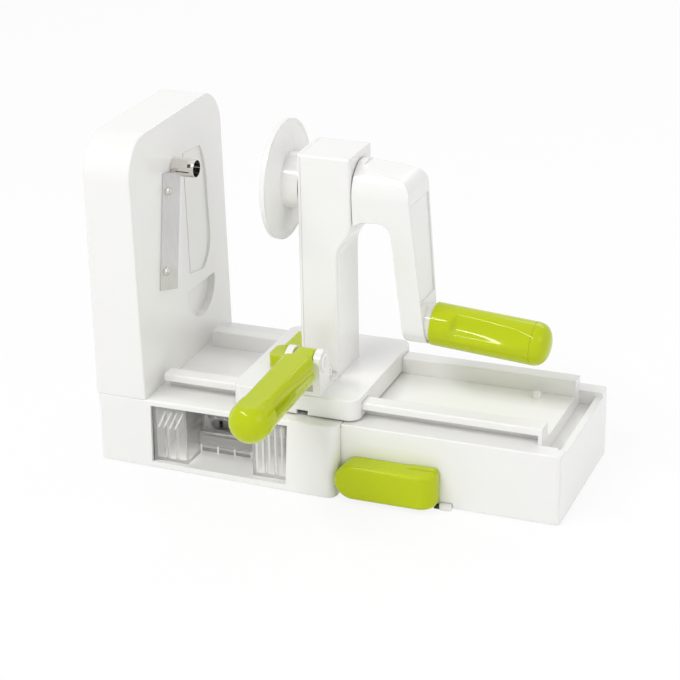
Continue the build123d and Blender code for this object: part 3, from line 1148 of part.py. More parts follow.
def build_spindle_washer():
    """Washer and screw head at the spindle's far end that keep the grip on."""
    start = COLLAR_LENGTH + GRIP_LENGTH - CAP_LENGTH - 6
    disc = grip_place(start + 0.6) * Rot(0, 90, 0) * Cylinder(SPINDLE_R + 2.4, 1.2)
    head = grip_place(start + 2.0) * Rot(0, 90, 0) * Cylinder(3.2, 2.0)
    return disc + head


def build_crank_grip():
    """Green grip, waisted at the arm, with a shallow dish for the fingers."""
    start = COLLAR_LENGTH + SLIDE_GAP
    end = start + GRIP_LENGTH - CAP_LENGTH
    spindle_end = COLLAR_LENGTH + GRIP_LENGTH - CAP_LENGTH - 6
    outline = make_face(
        Polyline((start, 0), (start, GRIP_NECK_R))
        + Bezier((start, GRIP_NECK_R), (start, GRIP_R), (start + 3, GRIP_R))
        + Polyline((start + 3, GRIP_R), (end, GRIP_R), (end, 0), (start, 0))
    )
    grip = revolve(Plane.XY * outline, Axis.X)
    grip -= rod_x(SPINDLE_R + RUNNING, start - 1, end + 1)
    grip -= rod_x(GRIP_R - GRIP_SHELL, spindle_end - SLIDE_GAP, end + 1)
    length = end - start - DISH_START
    dish = fillet(Box(length, DISH_WIDTH, GRIP_R).edges().filter_by(Axis.Z), DISH_WIDTH * 0.45)
    dish = fillet(dish.faces().sort_by(Axis.Z)[0].edges(), DISH_DEPTH * 0.8)
    middle = start + DISH_START + length / 2 - 1.5
    grip -= Rot(DISH_TURN, 0, 0) * Pos(middle, 0, GRIP_R * 1.5 - DISH_DEPTH) * dish
    return grip_place(0) * grip


def build_grip_end_cap():
    """Rounded cap pressed into the grip's far end."""
    start = COLLAR_LENGTH + SLIDE_GAP + GRIP_LENGTH - CAP_LENGTH
    tip = start + CAP_LENGTH
    plug_r = GRIP_R - GRIP_SHELL - RUNNING
    outline = make_face(
        Polyline(
            (start - CAP_PLUG, 0), (start - CAP_PLUG, plug_r), (start, plug_r), (start, GRIP_R),
            (start + 2, GRIP_R),
        )
        + Bezier((start + 2, GRIP_R), (tip - 3, GRIP_R), (tip, GRIP_R - 4.5), (tip, 0))
        + Line((tip, 0), (start - CAP_PLUG, 0))
    )
    cap = revolve(Plane.XY * outline, Axis.X)
    return grip_place(0) * (cap - rod_x(plug_r - CAP_PLUG, start - CAP_PLUG - 1, start + 1))


# ---------------------------------------------------------------- every piece
def main():
    os.makedirs("parts", exist_ok=True)
    save("base_left_shell", build_base_left_shell())
    save("base_right_shell", build_base_right_shell())
    save("guide_rail_front", build_guide_rail(-1))
    save("guide_rail_rear", build_guide_rail(1))
    save("rail_screws", build_rail_screws())
    save("track_stop", build_track_stop())
    save("bottom_cover", build_bottom_cover())
    save("cover_screws", build_cover_screws())
    save("rubber_feet", build_rubber_feet())
    save("suction_cup", build_suction_cup())
    save("cup_release_tab", build_cup_release_tab())
    save("cup_tongue", build_cup_tongue())
    save("suction_lever", build_suction_lever())
    save("lever_shaft", build_lever_shaft())
    save("lever_bush", build_lever_bush())
    save("lever_cam", build_lever_cam())
    save("suction_stem", build_suction_stem())
    save("tower_housing", build_tower_housing())
    save("tower_back_cover", build_tower_back_cover())
    save("tower_screws", build_tower_screws())
    save("knife_blade", build_knife_blade())
    save("knife_rivets", build_knife_rivets())
    save("coring_tube", build_coring_tube())
    save("storage_drawer", build_storage_drawer())
    for kind in ("coarse", "fine"):
        save(kind + "_insert_carrier", build_insert_carrier(kind))
        save(kind + "_insert_comb", build_insert_comb(kind))
    save("carriage_plate", build_carriage_plate())
    save("column_shell", build_column_shell())
    save("column_cover", build_column_cover())
    save("column_cover_screws", build_column_cover_screws())
    save("column_screws", build_column_screws())
    save("shaft_bush_rear", build_shaft_bush("rear"))
    save("shaft_bush_front", build_shaft_bush("front"))
    save("handle_bracket", build_handle_bracket())
    save("handle_pin", build_handle_pin())
    save("push_handle", build_push_handle())
    save("release_latch", build_release_latch())
    save("latch_bracket", build_latch_bracket())
    save("latch_pin", build_latch_pin())
    save("crank_shaft", build_crank_shaft())
    save("shaft_ring", build_shaft_ring())
    save("food_disc", build_food_disc())
    save("crank_arm", build_crank_arm())
    save("grip_spindle", build_grip_spindle())
    save("spindle_washer", build_spindle_washer())
    save("crank_grip", build_crank_grip())
    save("grip_end_cap", build_grip_end_cap())


main()
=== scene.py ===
# %% [markdown]
# # A hand cranked spiralizer
# The solids of this kitchen tool come in as a fixed frame at their real size.  What is left to do
# is everything the eye judges: soft moulded forms, glossy plastic, steel, a clear drawer and light.
# Every length in this script is in metres, but for the camera's sensor and lens.  Every piece keeps
# its object at the origin, with its place in its mesh, so that patterns on Object coordinates stay
# where they belong.

# %% Load the frame
import json
import math

import bmesh
import bpy
from mathutils import Matrix, Vector


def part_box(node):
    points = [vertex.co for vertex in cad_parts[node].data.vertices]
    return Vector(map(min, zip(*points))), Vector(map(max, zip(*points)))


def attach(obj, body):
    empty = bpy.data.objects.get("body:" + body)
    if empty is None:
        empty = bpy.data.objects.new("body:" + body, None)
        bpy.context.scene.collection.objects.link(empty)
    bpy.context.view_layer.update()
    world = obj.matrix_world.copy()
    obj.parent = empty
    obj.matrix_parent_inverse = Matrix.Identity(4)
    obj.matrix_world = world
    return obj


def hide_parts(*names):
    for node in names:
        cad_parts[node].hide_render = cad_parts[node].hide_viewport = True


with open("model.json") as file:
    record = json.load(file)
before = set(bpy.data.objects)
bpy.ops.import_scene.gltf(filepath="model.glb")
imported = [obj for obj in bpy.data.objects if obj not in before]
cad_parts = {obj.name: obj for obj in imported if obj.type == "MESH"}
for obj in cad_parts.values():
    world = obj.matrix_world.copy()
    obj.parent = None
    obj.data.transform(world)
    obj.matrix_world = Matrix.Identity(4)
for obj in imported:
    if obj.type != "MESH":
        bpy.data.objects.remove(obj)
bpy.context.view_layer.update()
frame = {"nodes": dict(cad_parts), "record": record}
nodes = frame["nodes"]

# %% [markdown]
# ## Camera
# A product photograph is taken from some way off with a long lens, so upright edges stay nearly
# upright.  The camera's place was worked out from the picture's parallel edges.  It is turned by
# three plain angles: how far to the left, how far down, and the slight roll of the picture.

# %% Camera at the photograph's angle
CAMERA_PLACE = Vector((0.45531, -1.23590, 0.65000))
CAMERA_TURN = math.radians(21.65)
CAMERA_DOWN = math.radians(23.09)
CAMERA_ROLL = math.radians(-1.03)
FOCAL_SHARE = 2130.8 / 680  # focal length over the width of the picture
SENSOR_WIDTH = 36.0  # in millimetres, as lenses are counted
CAMERA_REACH = 20  # nothing further off than this is drawn


def aim(turn, down, roll):
    """Rotation of a camera that looks along +Y, turned left, tipped down and rolled."""
    level = Matrix.Rotation(math.radians(90), 4, "X")
    heading = Matrix.Rotation(turn, 4, "Z") @ Matrix.Rotation(-down, 4, "X")
    return heading @ level @ Matrix.Rotation(roll, 4, "Z")


camera_data = bpy.data.cameras.new("camera")
camera_data.sensor_width = SENSOR_WIDTH
camera_data.lens = FOCAL_SHARE * SENSOR_WIDTH
camera_data.clip_end = CAMERA_REACH
camera = bpy.data.objects.new("camera", camera_data)
camera.matrix_world = Matrix.Translation(CAMERA_PLACE) @ aim(CAMERA_TURN, CAMERA_DOWN, CAMERA_ROLL)
bpy.context.scene.collection.objects.link(camera)
bpy.context.scene.camera = camera
print("lens", round(camera_data.lens, 1), "mm")

# %% [markdown]
# ## Studio
# White plastic on a white sweep only reads through its soft shading, so the light must have a
# direction: a long narrow key lamp from the upper left, which lays a thin bright line along each
# rounded form, a weaker fill from the right and a rim lamp behind.  The floor shows white to the
# camera and to reflections, and still takes a shadow.

# %% Floor and world
FLOOR_SIZE = 6.0
FLOOR_COLOUR = (0.93, 0.93, 0.93, 1)
FLOOR_ROUGHNESS = 0.6
FLOOR_GLOW = 0.86  # share of the floor that is plain white whatever the light does
WHITE = (1, 1, 1, 1)
WORLD_FILL = 0.60  # the world's light on the object; the camera and reflections see it at 1


def new_material(name):
    """Empty node material: its tree, the Principled BSDF and the output."""
    material = bpy.data.materials.new(name)
    material.use_nodes = True
    tree = material.node_tree
    return material, tree, tree.nodes["Principled BSDF"], tree.nodes["Material Output"]


def math_node(tree, operation, *values):
    """Result of one Math node; each value is a socket to link or a plain number."""
    node = tree.nodes.new("ShaderNodeMath")
    node.operation = operation
    for socket, value in zip(node.inputs, values):
        if isinstance(value, bpy.types.NodeSocket):
            tree.links.new(value, socket)
        else:
            socket.default_value = value
    return node.outputs[0]


def white_rays(tree):
    """1 for rays of the camera, and for mirror and clear rays, which then see the same white."""
    path = tree.nodes.new("ShaderNodeLightPath")
    seen = math_node(tree, "MAXIMUM", path.outputs["Is Camera Ray"], path.outputs["Is Glossy Ray"])
    return math_node(tree, "MAXIMUM", seen, path.outputs["Is Transmission Ray"])


def make_floor():
    mesh = bpy.data.meshes.new("floor")
    half = FLOOR_SIZE / 2
    corners = [(-half, -half, 0), (half, -half, 0), (half, half, 0), (-half, half, 0)]
    mesh.from_pydata(corners, [], [(0, 1, 2, 3)])
    floor = bpy.data.objects.new("floor", mesh)
    bpy.context.scene.collection.objects.link(floor)
    material, tree, shader, output = new_material("studio_floor")
    shader.inputs["Base Color"].default_value = FLOOR_COLOUR
    shader.inputs["Roughness"].default_value = FLOOR_ROUGHNESS
    glow = tree.nodes.new("ShaderNodeEmission")
    glow.inputs["Strength"].default_value = 1.0
    mix = tree.nodes.new("ShaderNodeMixShader")
    tree.links.new(math_node(tree, "MULTIPLY", white_rays(tree), FLOOR_GLOW), mix.inputs["Fac"])
    tree.links.new(shader.outputs["BSDF"], mix.inputs[1])
    tree.links.new(glow.outputs["Emission"], mix.inputs[2])
    tree.links.new(mix.outputs["Shader"], output.inputs["Surface"])
    mesh.materials.append(material)


def make_world():
    world = bpy.data.worlds.new("studio")
    world.use_nodes = True
    tree = world.node_tree
    background = tree.nodes["Background"]
    background.inputs["Color"].default_value = WHITE
    strength = tree.nodes.new("ShaderNodeMapRange")
    strength.inputs["To Min"].default_value = WORLD_FILL
    strength.inputs["To Max"].default_value = 1.0
    tree.links.new(white_rays(tree), strength.inputs["Value"])
    tree.links.new(strength.outputs["Result"], background.inputs["Strength"])
    bpy.context.scene.world = world


make_floor()
make_world()
print("floor", FLOOR_SIZE, "m, world at", WORLD_FILL)

# %% Lamps
LAMP_TARGET = (0, 0, 0.1)
LAMPS = {  # where each one stands, its two sides, and its power in watts
    "key": ((-0.75, -1.0, 1.5), (1.3, 0.14), 15),
    "fill": ((1.5, -0.6, 0.9), (1.0, 1.0), 5),
    "rim": ((0.3, 1.4, 1.3), (1.2, 0.6), 5),
}


def area_lamp(name, place, sides, power):
    """Rectangular lamp that looks at the middle of the object."""
    data = bpy.data.lights.new(name, "AREA")
    data.shape = "RECTANGLE"
    data.size, data.size_y = sides
    data.energy = power
    lamp = bpy.data.objects.new(name, data)
    direction = Vector(LAMP_TARGET) - Vector(place)
    turn = direction.to_track_quat("-Z", "Y").to_matrix().to_4x4()
    lamp.matrix_world = Matrix.Translation(place) @ turn
    bpy.context.scene.collection.objects.link(lamp)


for lamp_name, (lamp_place, lamp_sides, lamp_power) in LAMPS.items():
    area_lamp(lamp_name, lamp_place, lamp_sides, lamp_power)
print("lamps:", ", ".join(LAMPS))
bpy.context.scene.view_settings.view_transform = "Standard"

# %% [markdown]
# ## Finishes
# Injection moulded plastic is never perfectly flat: its gloss ripples a little and its colour
# drifts by a percent or two.  One shader node group makes both, and every plastic uses it with its
# own values.  A second group draws the fine parallel scratches of rolled steel.  A third one paints
# shade onto the corners of the clear plastic, where refraction would draw a dark outline.

# %% Helpers for shader groups
def group_tree(name, inputs, outputs):
    """Shader group with named sockets; each input is (name, type, default)."""
    tree = bpy.data.node_groups.new(name, "ShaderNodeTree")
    for label, kind, value in inputs:
        socket = tree.interface.new_socket(name=label, in_out="INPUT", socket_type=kind)
        socket.default_value = value
    for label, kind in outputs:
        tree.interface.new_socket(name=label, in_out="OUTPUT", socket_type=kind)
    return tree, tree.nodes.new("NodeGroupInput"), tree.nodes.new("NodeGroupOutput")


def noise_node(tree, scale, detail, vector):
    noise = tree.nodes.new("ShaderNodeTexNoise")
    noise.inputs["Scale"].default_value = scale
    noise.inputs["Detail"].default_value = detail
    tree.links.new(vector, noise.inputs["Vector"])
    return noise.outputs["Fac"]


def mix_colour(tree, share, first, second):
    """First colour where share is 0, second where it is 1."""
    mix = tree.nodes.new("ShaderNodeMix")
    mix.data_type = "RGBA"
    tree.links.new(share, mix.inputs["Factor"])
    tree.links.new(first, mix.inputs["A"])
    tree.links.new(second, mix.inputs["B"])
    return mix.outputs["Result"]


# %% Moulded plastic
CLOUD = (22, 3)  # scale and detail of the slow drift in colour and gloss
FINE = (900, 2)  # of the fine grain
RIPPLE = (120, 1)  # of the ripple that highlights show
FINE_SHARE = 0.15  # height of the fine grain over the ripple's
MOULDED_BUMP = 0.001
EDGE_SAMPLES = 4


def make_moulded_group():
    """Colour drift, gloss drift and a faint ripple for moulded plastic."""
    tree, given, result = group_tree(
        "moulded_surface",
        [
            ("Colour", "NodeSocketColor", (0.8, 0.8, 0.8, 1)),
            ("Tint", "NodeSocketColor", (0.7, 0.7, 0.65, 1)),
            ("Drift", "NodeSocketFloat", 0.1),
            ("Gloss", "NodeSocketFloat", 0.2),
            ("Gloss Drift", "NodeSocketFloat", 0.05),
            ("Ripple", "NodeSocketFloat", 0.02),
            ("Edge", "NodeSocketFloat", 0.0005),
        ],
        [("Colour", "NodeSocketColor"), ("Roughness", "NodeSocketFloat"), ("Normal", "NodeSocketVector")],
    )
    place = tree.nodes.new("ShaderNodeTexCoord").outputs["Object"]
    cloud = noise_node(tree, *CLOUD, place)
    fine = noise_node(tree, *FINE, place)
    ripple = noise_node(tree, *RIPPLE, place)
    amount = math_node(tree, "MULTIPLY", cloud, given.outputs["Drift"])
    colour = mix_colour(tree, amount, given.outputs["Colour"], given.outputs["Tint"])
    tree.links.new(colour, result.inputs["Colour"])
    rough = math_node(tree, "MULTIPLY_ADD", cloud, given.outputs["Gloss Drift"], given.outputs["Gloss"])
    tree.links.new(rough, result.inputs["Roughness"])
    bump = tree.nodes.new("ShaderNodeBump")
    bump.inputs["Distance"].default_value = MOULDED_BUMP
    tree.links.new(given.outputs["Ripple"], bump.inputs["Strength"])
    tree.links.new(math_node(tree, "MULTIPLY_ADD", fine, FINE_SHARE, ripple), bump.inputs["Height"])
    edge = tree.nodes.new("ShaderNodeBevel")
    edge.samples = EDGE_SAMPLES
    tree.links.new(given.outputs["Edge"], edge.inputs["Radius"])
    tree.links.new(edge.outputs["Normal"], bump.inputs["Normal"])
    tree.links.new(bump.outputs["Normal"], result.inputs["Normal"])
    return tree


# %% [markdown]
# Rolled and drawn steel shows fine scratches that all run one way.  Noise that is stretched along
# one axis gives them without a picture.

# %% Drawn steel
GRAIN = (1.0, 4)  # scale and detail; the Stretch input sets the size of the scratches
GRAIN_BUMP = 0.0004


def make_grain_group():
    """Fine parallel scratches for rolled or drawn steel."""
    tree, given, result = group_tree(
        "drawn_grain",
        [
            ("Stretch", "NodeSocketVector", (40, 900, 900)),
            ("Roughness", "NodeSocketFloat", 0.3),
            ("Roughness Drift", "NodeSocketFloat", 0.2),
            ("Depth", "NodeSocketFloat", 0.1),
            ("Light", "NodeSocketColor", (0.8, 0.8, 0.8, 1)),
            ("Dark", "NodeSocketColor", (0.5, 0.5, 0.5, 1)),
        ],
        [("Colour", "NodeSocketColor"), ("Roughness", "NodeSocketFloat"), ("Normal", "NodeSocketVector")],
    )
    place = tree.nodes.new("ShaderNodeTexCoord").outputs["Object"]
    stretch = tree.nodes.new("ShaderNodeVectorMath")
    stretch.operation = "MULTIPLY"
    tree.links.new(place, stretch.inputs[0])
    tree.links.new(given.outputs["Stretch"], stretch.inputs[1])
    grain = noise_node(tree, *GRAIN, stretch.outputs["Vector"])
    colour = mix_colour(tree, grain, given.outputs["Dark"], given.outputs["Light"])
    tree.links.new(colour, result.inputs["Colour"])
    drift, base = given.outputs["Roughness Drift"], given.outputs["Roughness"]
    tree.links.new(math_node(tree, "MULTIPLY_ADD", grain, drift, base), result.inputs["Roughness"])
    bump = tree.nodes.new("ShaderNodeBump")
    bump.inputs["Distance"].default_value = GRAIN_BUMP
    tree.links.new(given.outputs["Depth"], bump.inputs["Strength"])
    tree.links.new(grain, bump.inputs["Height"])
    tree.links.new(bump.outputs["Normal"], result.inputs["Normal"])
    return tree


# %% [markdown]
# A clear moulding hardly shows on its flats, and is outlined at its corners, where light bends through
# it.  That dark outline is painted here as shade in the corners' colour.  The rounded normal of a Bevel
# node differs from the plain one only near a corner, so how far apart the two are marks just those places.

# %% Painted shade on the corners of clear plastic
CORNER_SAMPLES = 6


def make_corner_shade_group():
    """Paints shade onto the corners of a clear moulding, where light bent through the plastic would draw its
    dark outline.
    """
    tree, given, result = group_tree(
        "painted_corner_shade",
        [
            ("Colour", "NodeSocketColor", (1, 1, 1, 1)),
            ("Corner Shade", "NodeSocketColor", (0.6, 0.58, 0.55, 1)),
            ("Reach", "NodeSocketFloat", 0.0008),
            ("Strength", "NodeSocketFloat", 6.0),
        ],
        [("Colour", "NodeSocketColor")],
    )
    rounded = tree.nodes.new("ShaderNodeBevel")
    rounded.samples = CORNER_SAMPLES
    tree.links.new(given.outputs["Reach"], rounded.inputs["Radius"])
    flat = tree.nodes.new("ShaderNodeNewGeometry")
    alike = tree.nodes.new("ShaderNodeVectorMath")
    alike.operation = "DOT_PRODUCT"
    tree.links.new(rounded.outputs["Normal"], alike.inputs[0])
    tree.links.new(flat.outputs["Normal"], alike.inputs[1])
    # how far the bevelled normal turns from the plain one sets the share of painted shade
    apart = math_node(tree, "SUBTRACT", 1.0, alike.outputs["Value"])
    shade_share = math_node(tree, "MULTIPLY", apart, given.outputs["Strength"])
    shade_share.node.use_clamp = True
    colour = mix_colour(tree, shade_share, given.outputs["Colour"], given.outputs["Corner Shade"])
    tree.links.new(colour, result.inputs["Colour"])
    return tree


moulded_surface = make_moulded_group()
drawn_grain = make_grain_group()
painted_corner_shade = make_corner_shade_group()
print("groups:", moulded_surface.name, drawn_grain.name, painted_corner_shade.name)


def place_group(tree, group, shader, values):
    """Puts a group into a material, sets its values and joins it to the shader."""
    node = tree.nodes.new("ShaderNodeGroup")
    node.node_tree = group
    for label, value in values.items():
        node.inputs[label].default_value = value
    tree.links.new(node.outputs["Colour"], shader.inputs["Base Color"])
    tree.links.new(node.outputs["Roughness"], shader.inputs["Roughness"])
    tree.links.new(node.outputs["Normal"], shader.inputs["Normal"])
    return node


# %% [markdown]
# ## The materials themselves
# The white is a warm one with a hard gloss and a thin clear coat.  The green is a strong lime that is
# smooth by itself and has no coat.  The drawer is clear plastic with a milky share, so only a part of
# it transmits light.  Its refractive index is given lower than a real clear plastic's.

# %% Materials
EDGE_SOFTNESS = 0.0006  # radius that every moulded edge is softened by in its highlights
GLOSS_DRIFT = 0.08
COAT_ROUGHNESS = 0.04
CLEAR_IOR = 1.35


def plastic(name, colour, tint, drift, gloss, ripple, coat=0.0, shine=0.5):
    material, tree, shader, _ = new_material(name)
    place_group(tree, moulded_surface, shader, {
        "Colour": (*colour, 1), "Tint": (*tint, 1), "Drift": drift, "Gloss": gloss,
        "Gloss Drift": GLOSS_DRIFT, "Ripple": ripple, "Edge": EDGE_SOFTNESS,
    })
    shader.inputs["Coat Weight"].default_value = coat
    shader.inputs["Coat Roughness"].default_value = COAT_ROUGHNESS
    shader.inputs["Specular IOR Level"].default_value = shine
    return material


def steel(name, stretch, light, dark, rough, drift, depth):
    material, tree, shader, _ = new_material(name)
    place_group(tree, drawn_grain, shader, {
        "Stretch": stretch, "Light": (*light, 1), "Dark": (*dark, 1), "Roughness": rough,
        "Roughness Drift": drift, "Depth": depth,
    })
    shader.inputs["Metallic"].default_value = 1.0
    return material


def clear_plastic(name, share, corner):
    """Clear moulding with a milky share; lamps shine through it into the drawer; corner is the colour of the
    shade painted on its corners.
    """
    material, tree, shader, output = new_material(name)
    surface = place_group(tree, moulded_surface, shader, {
        "Colour": (0.96, 0.955, 0.94, 1), "Tint": (0.90, 0.89, 0.86, 1), "Drift": 0.3, "Gloss": 0.04,
        "Gloss Drift": 0.05, "Ripple": 0.08, "Edge": 0.0,
    })
    corners = tree.nodes.new("ShaderNodeGroup")
    corners.node_tree = painted_corner_shade
    corners.inputs["Corner Shade"].default_value = (*corner, 1)
    tree.links.new(surface.outputs["Colour"], corners.inputs["Colour"])
    tree.links.new(corners.outputs["Colour"], shader.inputs["Base Color"])
    shader.inputs["Transmission Weight"].default_value = share
    shader.inputs["IOR"].default_value = CLEAR_IOR
    path = tree.nodes.new("ShaderNodeLightPath")
    through = tree.nodes.new("ShaderNodeBsdfTransparent")
    mix = tree.nodes.new("ShaderNodeMixShader")
    tree.links.new(path.outputs["Is Shadow Ray"], mix.inputs["Fac"])
    tree.links.new(shader.outputs["BSDF"], mix.inputs[1])
    tree.links.new(through.outputs["BSDF"], mix.inputs[2])
    tree.links.new(mix.outputs["Shader"], output.inputs["Surface"])
    return material


MATERIALS = {
    "warm_white_plastic": plastic(
        "warm_white_plastic", (0.88, 0.875, 0.862), (0.84, 0.832, 0.81), 0.25, 0.16, 0.05, coat=0.3,
    ),
    "lime_green_plastic": plastic(
        "lime_green_plastic", (0.51, 0.60, 0.002), (0.45, 0.54, 0.002), 0.4, 0.04, 0.03, shine=0.24,
    ),
    "bearing_plastic": plastic("bearing_plastic", (0.70, 0.70, 0.68), (0.6, 0.6, 0.58), 0.3, 0.45, 0.15),
    "black_rubber": plastic("black_rubber", (0.02, 0.02, 0.02), (0.05, 0.05, 0.05), 0.5, 0.65, 0.4),
    "bright_steel": steel(
        "bright_steel", (900, 900, 30), (0.84, 0.83, 0.83), (0.70, 0.69, 0.70), 0.24, 0.18, 0.15,
    ),
    "polished_steel": steel(
        "polished_steel", (30, 700, 700), (0.82, 0.80, 0.77), (0.62, 0.60, 0.57), 0.06, 0.12, 0.08,
    ),
    "zinc_screw": steel("zinc_screw", (500, 500, 500), (0.62, 0.63, 0.65), (0.45, 0.46, 0.48), 0.3, 0.2, 0.2),
    # the last colour of each clear plastic is the painted shade on its corners
    "clear_plastic": clear_plastic("clear_plastic", 0.76, (0.50, 0.47, 0.43)),
    "clear_ribs": clear_plastic("clear_ribs", 0.25, (0.90, 0.89, 0.87)),
}


def dress(obj, slot):
    """Gives a piece or a frame node the finish of one of the record's slots."""
    obj.data.materials.clear()
    obj.data.materials.append(MATERIALS[slot])


node_slots = {part["node"]: part["material_slot"] for part in frame["record"]["subparts"]}
for name, node in nodes.items():
    dress(node, node_slots[name])
print("dressed", len(node_slots), "frame nodes")

# %% [markdown]
# ## Rings skinned into a solid
# A handle and a grip are both a section that changes along an axis.  Such a form is drawn as rings
# of points, one ring at each station, and skinned with quads.  The section is a plain function of
# the station and of the angle round the axis, so a flat, a groove or a finger dish is one term in
# a formula, and every highlight line runs where the formula puts it.

# %% Skin helpers
RING_POINTS = 144
MERGE_DISTANCE = 1e-6  # points closer than this become one
SKIN_SHARP = 40  # degrees between two faces from which their edge stays sharp


def soft_step(low, high, value):
    """0 below low, 1 above high, smooth between."""
    share = min(max((value - low) / (high - low), 0.0), 1.0)
    return share * share * (3 - 2 * share)


def soft_min(first, second, blend):
    """The smaller of two values, rounded over where they meet."""
    share = min(max(0.5 + (second - first) / (2 * blend), 0.0), 1.0)
    return second + (first - second) * share - blend * share * (1 - share)


def finish_piece(name, mesh, slot, body, *replaced, look=None):
    """Smooth shaded object at the origin that rides on a body and stands for frame nodes."""
    piece = bpy.data.objects.new(name, mesh)
    bpy.context.scene.collection.objects.link(piece)
    dress(piece, look or slot)
    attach(piece, body)
    if replaced:
        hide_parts(*replaced)
    print(name, len(mesh.polygons), "faces")
    return piece


def bridge(shape, rings):
    """Joins each ring of points to the next one with quads."""
    for near, far in zip(rings, rings[1:]):
        for step in range(len(near)):
            after = (step + 1) % len(near)
            shape.faces.new((near[step], near[after], far[after], far[step]))


def close_mesh(name, shape, sharp):
    """Mesh from a shape: points merged, faces outwards, smooth below the sharp angle."""
    bmesh.ops.remove_doubles(shape, verts=shape.verts, dist=MERGE_DISTANCE)
    bmesh.ops.recalc_face_normals(shape, faces=shape.faces)
    mesh = bpy.data.meshes.new(name)
    shape.to_mesh(mesh)
    shape.free()
    mesh.shade_smooth()
    mesh.set_sharp_from_angle(angle=math.radians(sharp))
    return mesh


def skin(name, stations, section, place):
    """Mesh skinned over rings.  section(station, angle) gives the two offsets from the axis."""
    shape = bmesh.new()
    rings = []
    for station in stations:
        ring = []
        for step in range(RING_POINTS):
            side, up = section(station, math.tau * step / RING_POINTS)
            ring.append(shape.verts.new(place @ Vector((station, side, up))))
        rings.append(ring)
    bridge(shape, rings)
    shape.faces.new(list(reversed(rings[0])))
    shape.faces.new(rings[-1])
    return close_mesh(name, shape, SKIN_SHARP)


def spread(*marks):
    """Stations from (place, step) marks: even steps from each mark to the next."""
    result = []
    for (low, step), (high, _) in zip(marks, marks[1:]):
        count = max(1, round((high - low) / step))
        result += [low + (high - low) * part / count for part in range(count)]
    return result + [marks[-1][0]]


joints = {joint["name"]: joint for joint in frame["record"]["behaviour"]["joints"]}
print("joints:", ", ".join(joints))

# %% [markdown]
# ## Push handle
# The cook pushes the carriage with this bar.  It is a round bar with its top planed flat for the
# palm, a V groove along each side, and a fuller round end that shows a small gate mark at its tip.
# Near the hinge it necks down to fit between the two ears.  All of it is one skinned form.

# %% Push handle
HANDLE_R = 0.0140
HANDLE_WAIST = 0.0007  # the bar is this much thinner than its round end
HANDLE_DOME = 2.2  # power of the round end's curve; 2 is a ball
WAIST_STEP = 0.0004  # half the length over which the bar widens into the end
HANDLE_REACH = 0.0925  # hinge pin to the centre of the round end
HANDLE_END = 0.0090  # the round end starts this far before its dome
HANDLE_DROOP = math.radians(2.0)
HANDLE_FLAT = 0.0108  # height of the planed top over the axis
HANDLE_END_FLAT = 0.0118  # and of the flat on the round end
FLAT_STEP = 0.0003  # half the length over which one turns into the other
FLAT_BLEND = 0.0004  # how much the edges of the flats are rounded over
GROOVE_UP = 0.0005  # height of the groove's bottom above the axis
GROOVE_SLOPE = 0.0080  # the side falls back to it over this height from above
GROOVE_STEP = 0.0010  # and comes out again this fast below it
GROOVE_DEEP = 0.0042
GROOVE_NEAR = 0.35  # share of that depth near the hinge
GROOVE_LEAD = 0.002  # it starts to deepen this far before the bar's full section
GROOVE_TAIL = 0.004  # and is at its deepest this far before the round end
NECK_HALF = 0.0072
NECK_R = 0.0082
NECK_SQUARE = 7  # power of the neck's section; the bar's is 2, a circle
NECK_END = 0.0105
BODY_START = 0.0185
GATE_R = 0.0012
GATE_DEPTH = 0.0005


def handle_section(station, angle):
    """Side and height of the push handle's skin at one station along it."""
    dome = max(0.0, station - HANDLE_REACH) / HANDLE_R
    past = station - HANDLE_REACH + HANDLE_END
    radius = HANDLE_R - HANDLE_WAIST * (1 - soft_step(-WAIST_STEP, WAIST_STEP, past))
    radius *= max(0.0, 1 - dome ** HANDLE_DOME) ** (1 / HANDLE_DOME)
    body = soft_step(NECK_END, BODY_START, station)
    back = max(0.0, 1 - (min(station, 0.0) / NECK_R) ** 2) ** 0.5
    half_side = NECK_HALF + (radius - NECK_HALF) * body
    half_up = NECK_R * back + (radius - NECK_R) * body
    square = 2 / (NECK_SQUARE - (NECK_SQUARE - 2) * body)
    side = half_side * math.copysign(abs(math.cos(angle)) ** square, math.cos(angle))
    up = half_up * math.copysign(abs(math.sin(angle)) ** square, math.sin(angle))
    on_end = soft_step(-FLAT_STEP, FLAT_STEP, past)
    flat = HANDLE_FLAT + (HANDLE_END_FLAT - HANDLE_FLAT) * on_end
    up = soft_min(up, flat, FLAT_BLEND)
    along = soft_step(BODY_START - GROOVE_LEAD, HANDLE_REACH - HANDLE_END - GROOVE_TAIL, station)
    depth = GROOVE_DEEP * (GROOVE_NEAR + (1 - GROOVE_NEAR) * along) * body * (1 - on_end)
    fall = GROOVE_SLOPE if up > GROOVE_UP else GROOVE_STEP
    into = max(0.0, 1 - abs(up - GROOVE_UP) / fall)
    return side - math.copysign(depth * into, side), up


hinge = Vector(joints["push_handle_fold"]["pos_m"])
along_handle = Vector((0, -math.cos(HANDLE_DROOP), -math.sin(HANDLE_DROOP)))
handle_up = Vector((0, -math.sin(HANDLE_DROOP), math.cos(HANDLE_DROOP)))
handle_turn = Matrix((along_handle, Vector((1, 0, 0)), handle_up)).transposed().to_4x4()
handle_place = Matrix.Translation(hinge) @ handle_turn
handle_tip = HANDLE_REACH + HANDLE_R
handle_stations = spread(
    (-NECK_R, 0.0008), (0, 0.0015), (NECK_END, 0.0005), (BODY_START, 0.0015),
    (HANDLE_REACH - HANDLE_END - 0.0006, 0.0001), (HANDLE_REACH - HANDLE_END + 0.0006, 0.001),
    (HANDLE_REACH, 0.0008), (handle_tip - 0.002, 0.0002), (handle_tip, 1),
)
handle_mesh = skin("push_handle_skin", handle_stations, handle_section, handle_place)
gate = handle_place @ Vector((handle_tip, 0, 0))
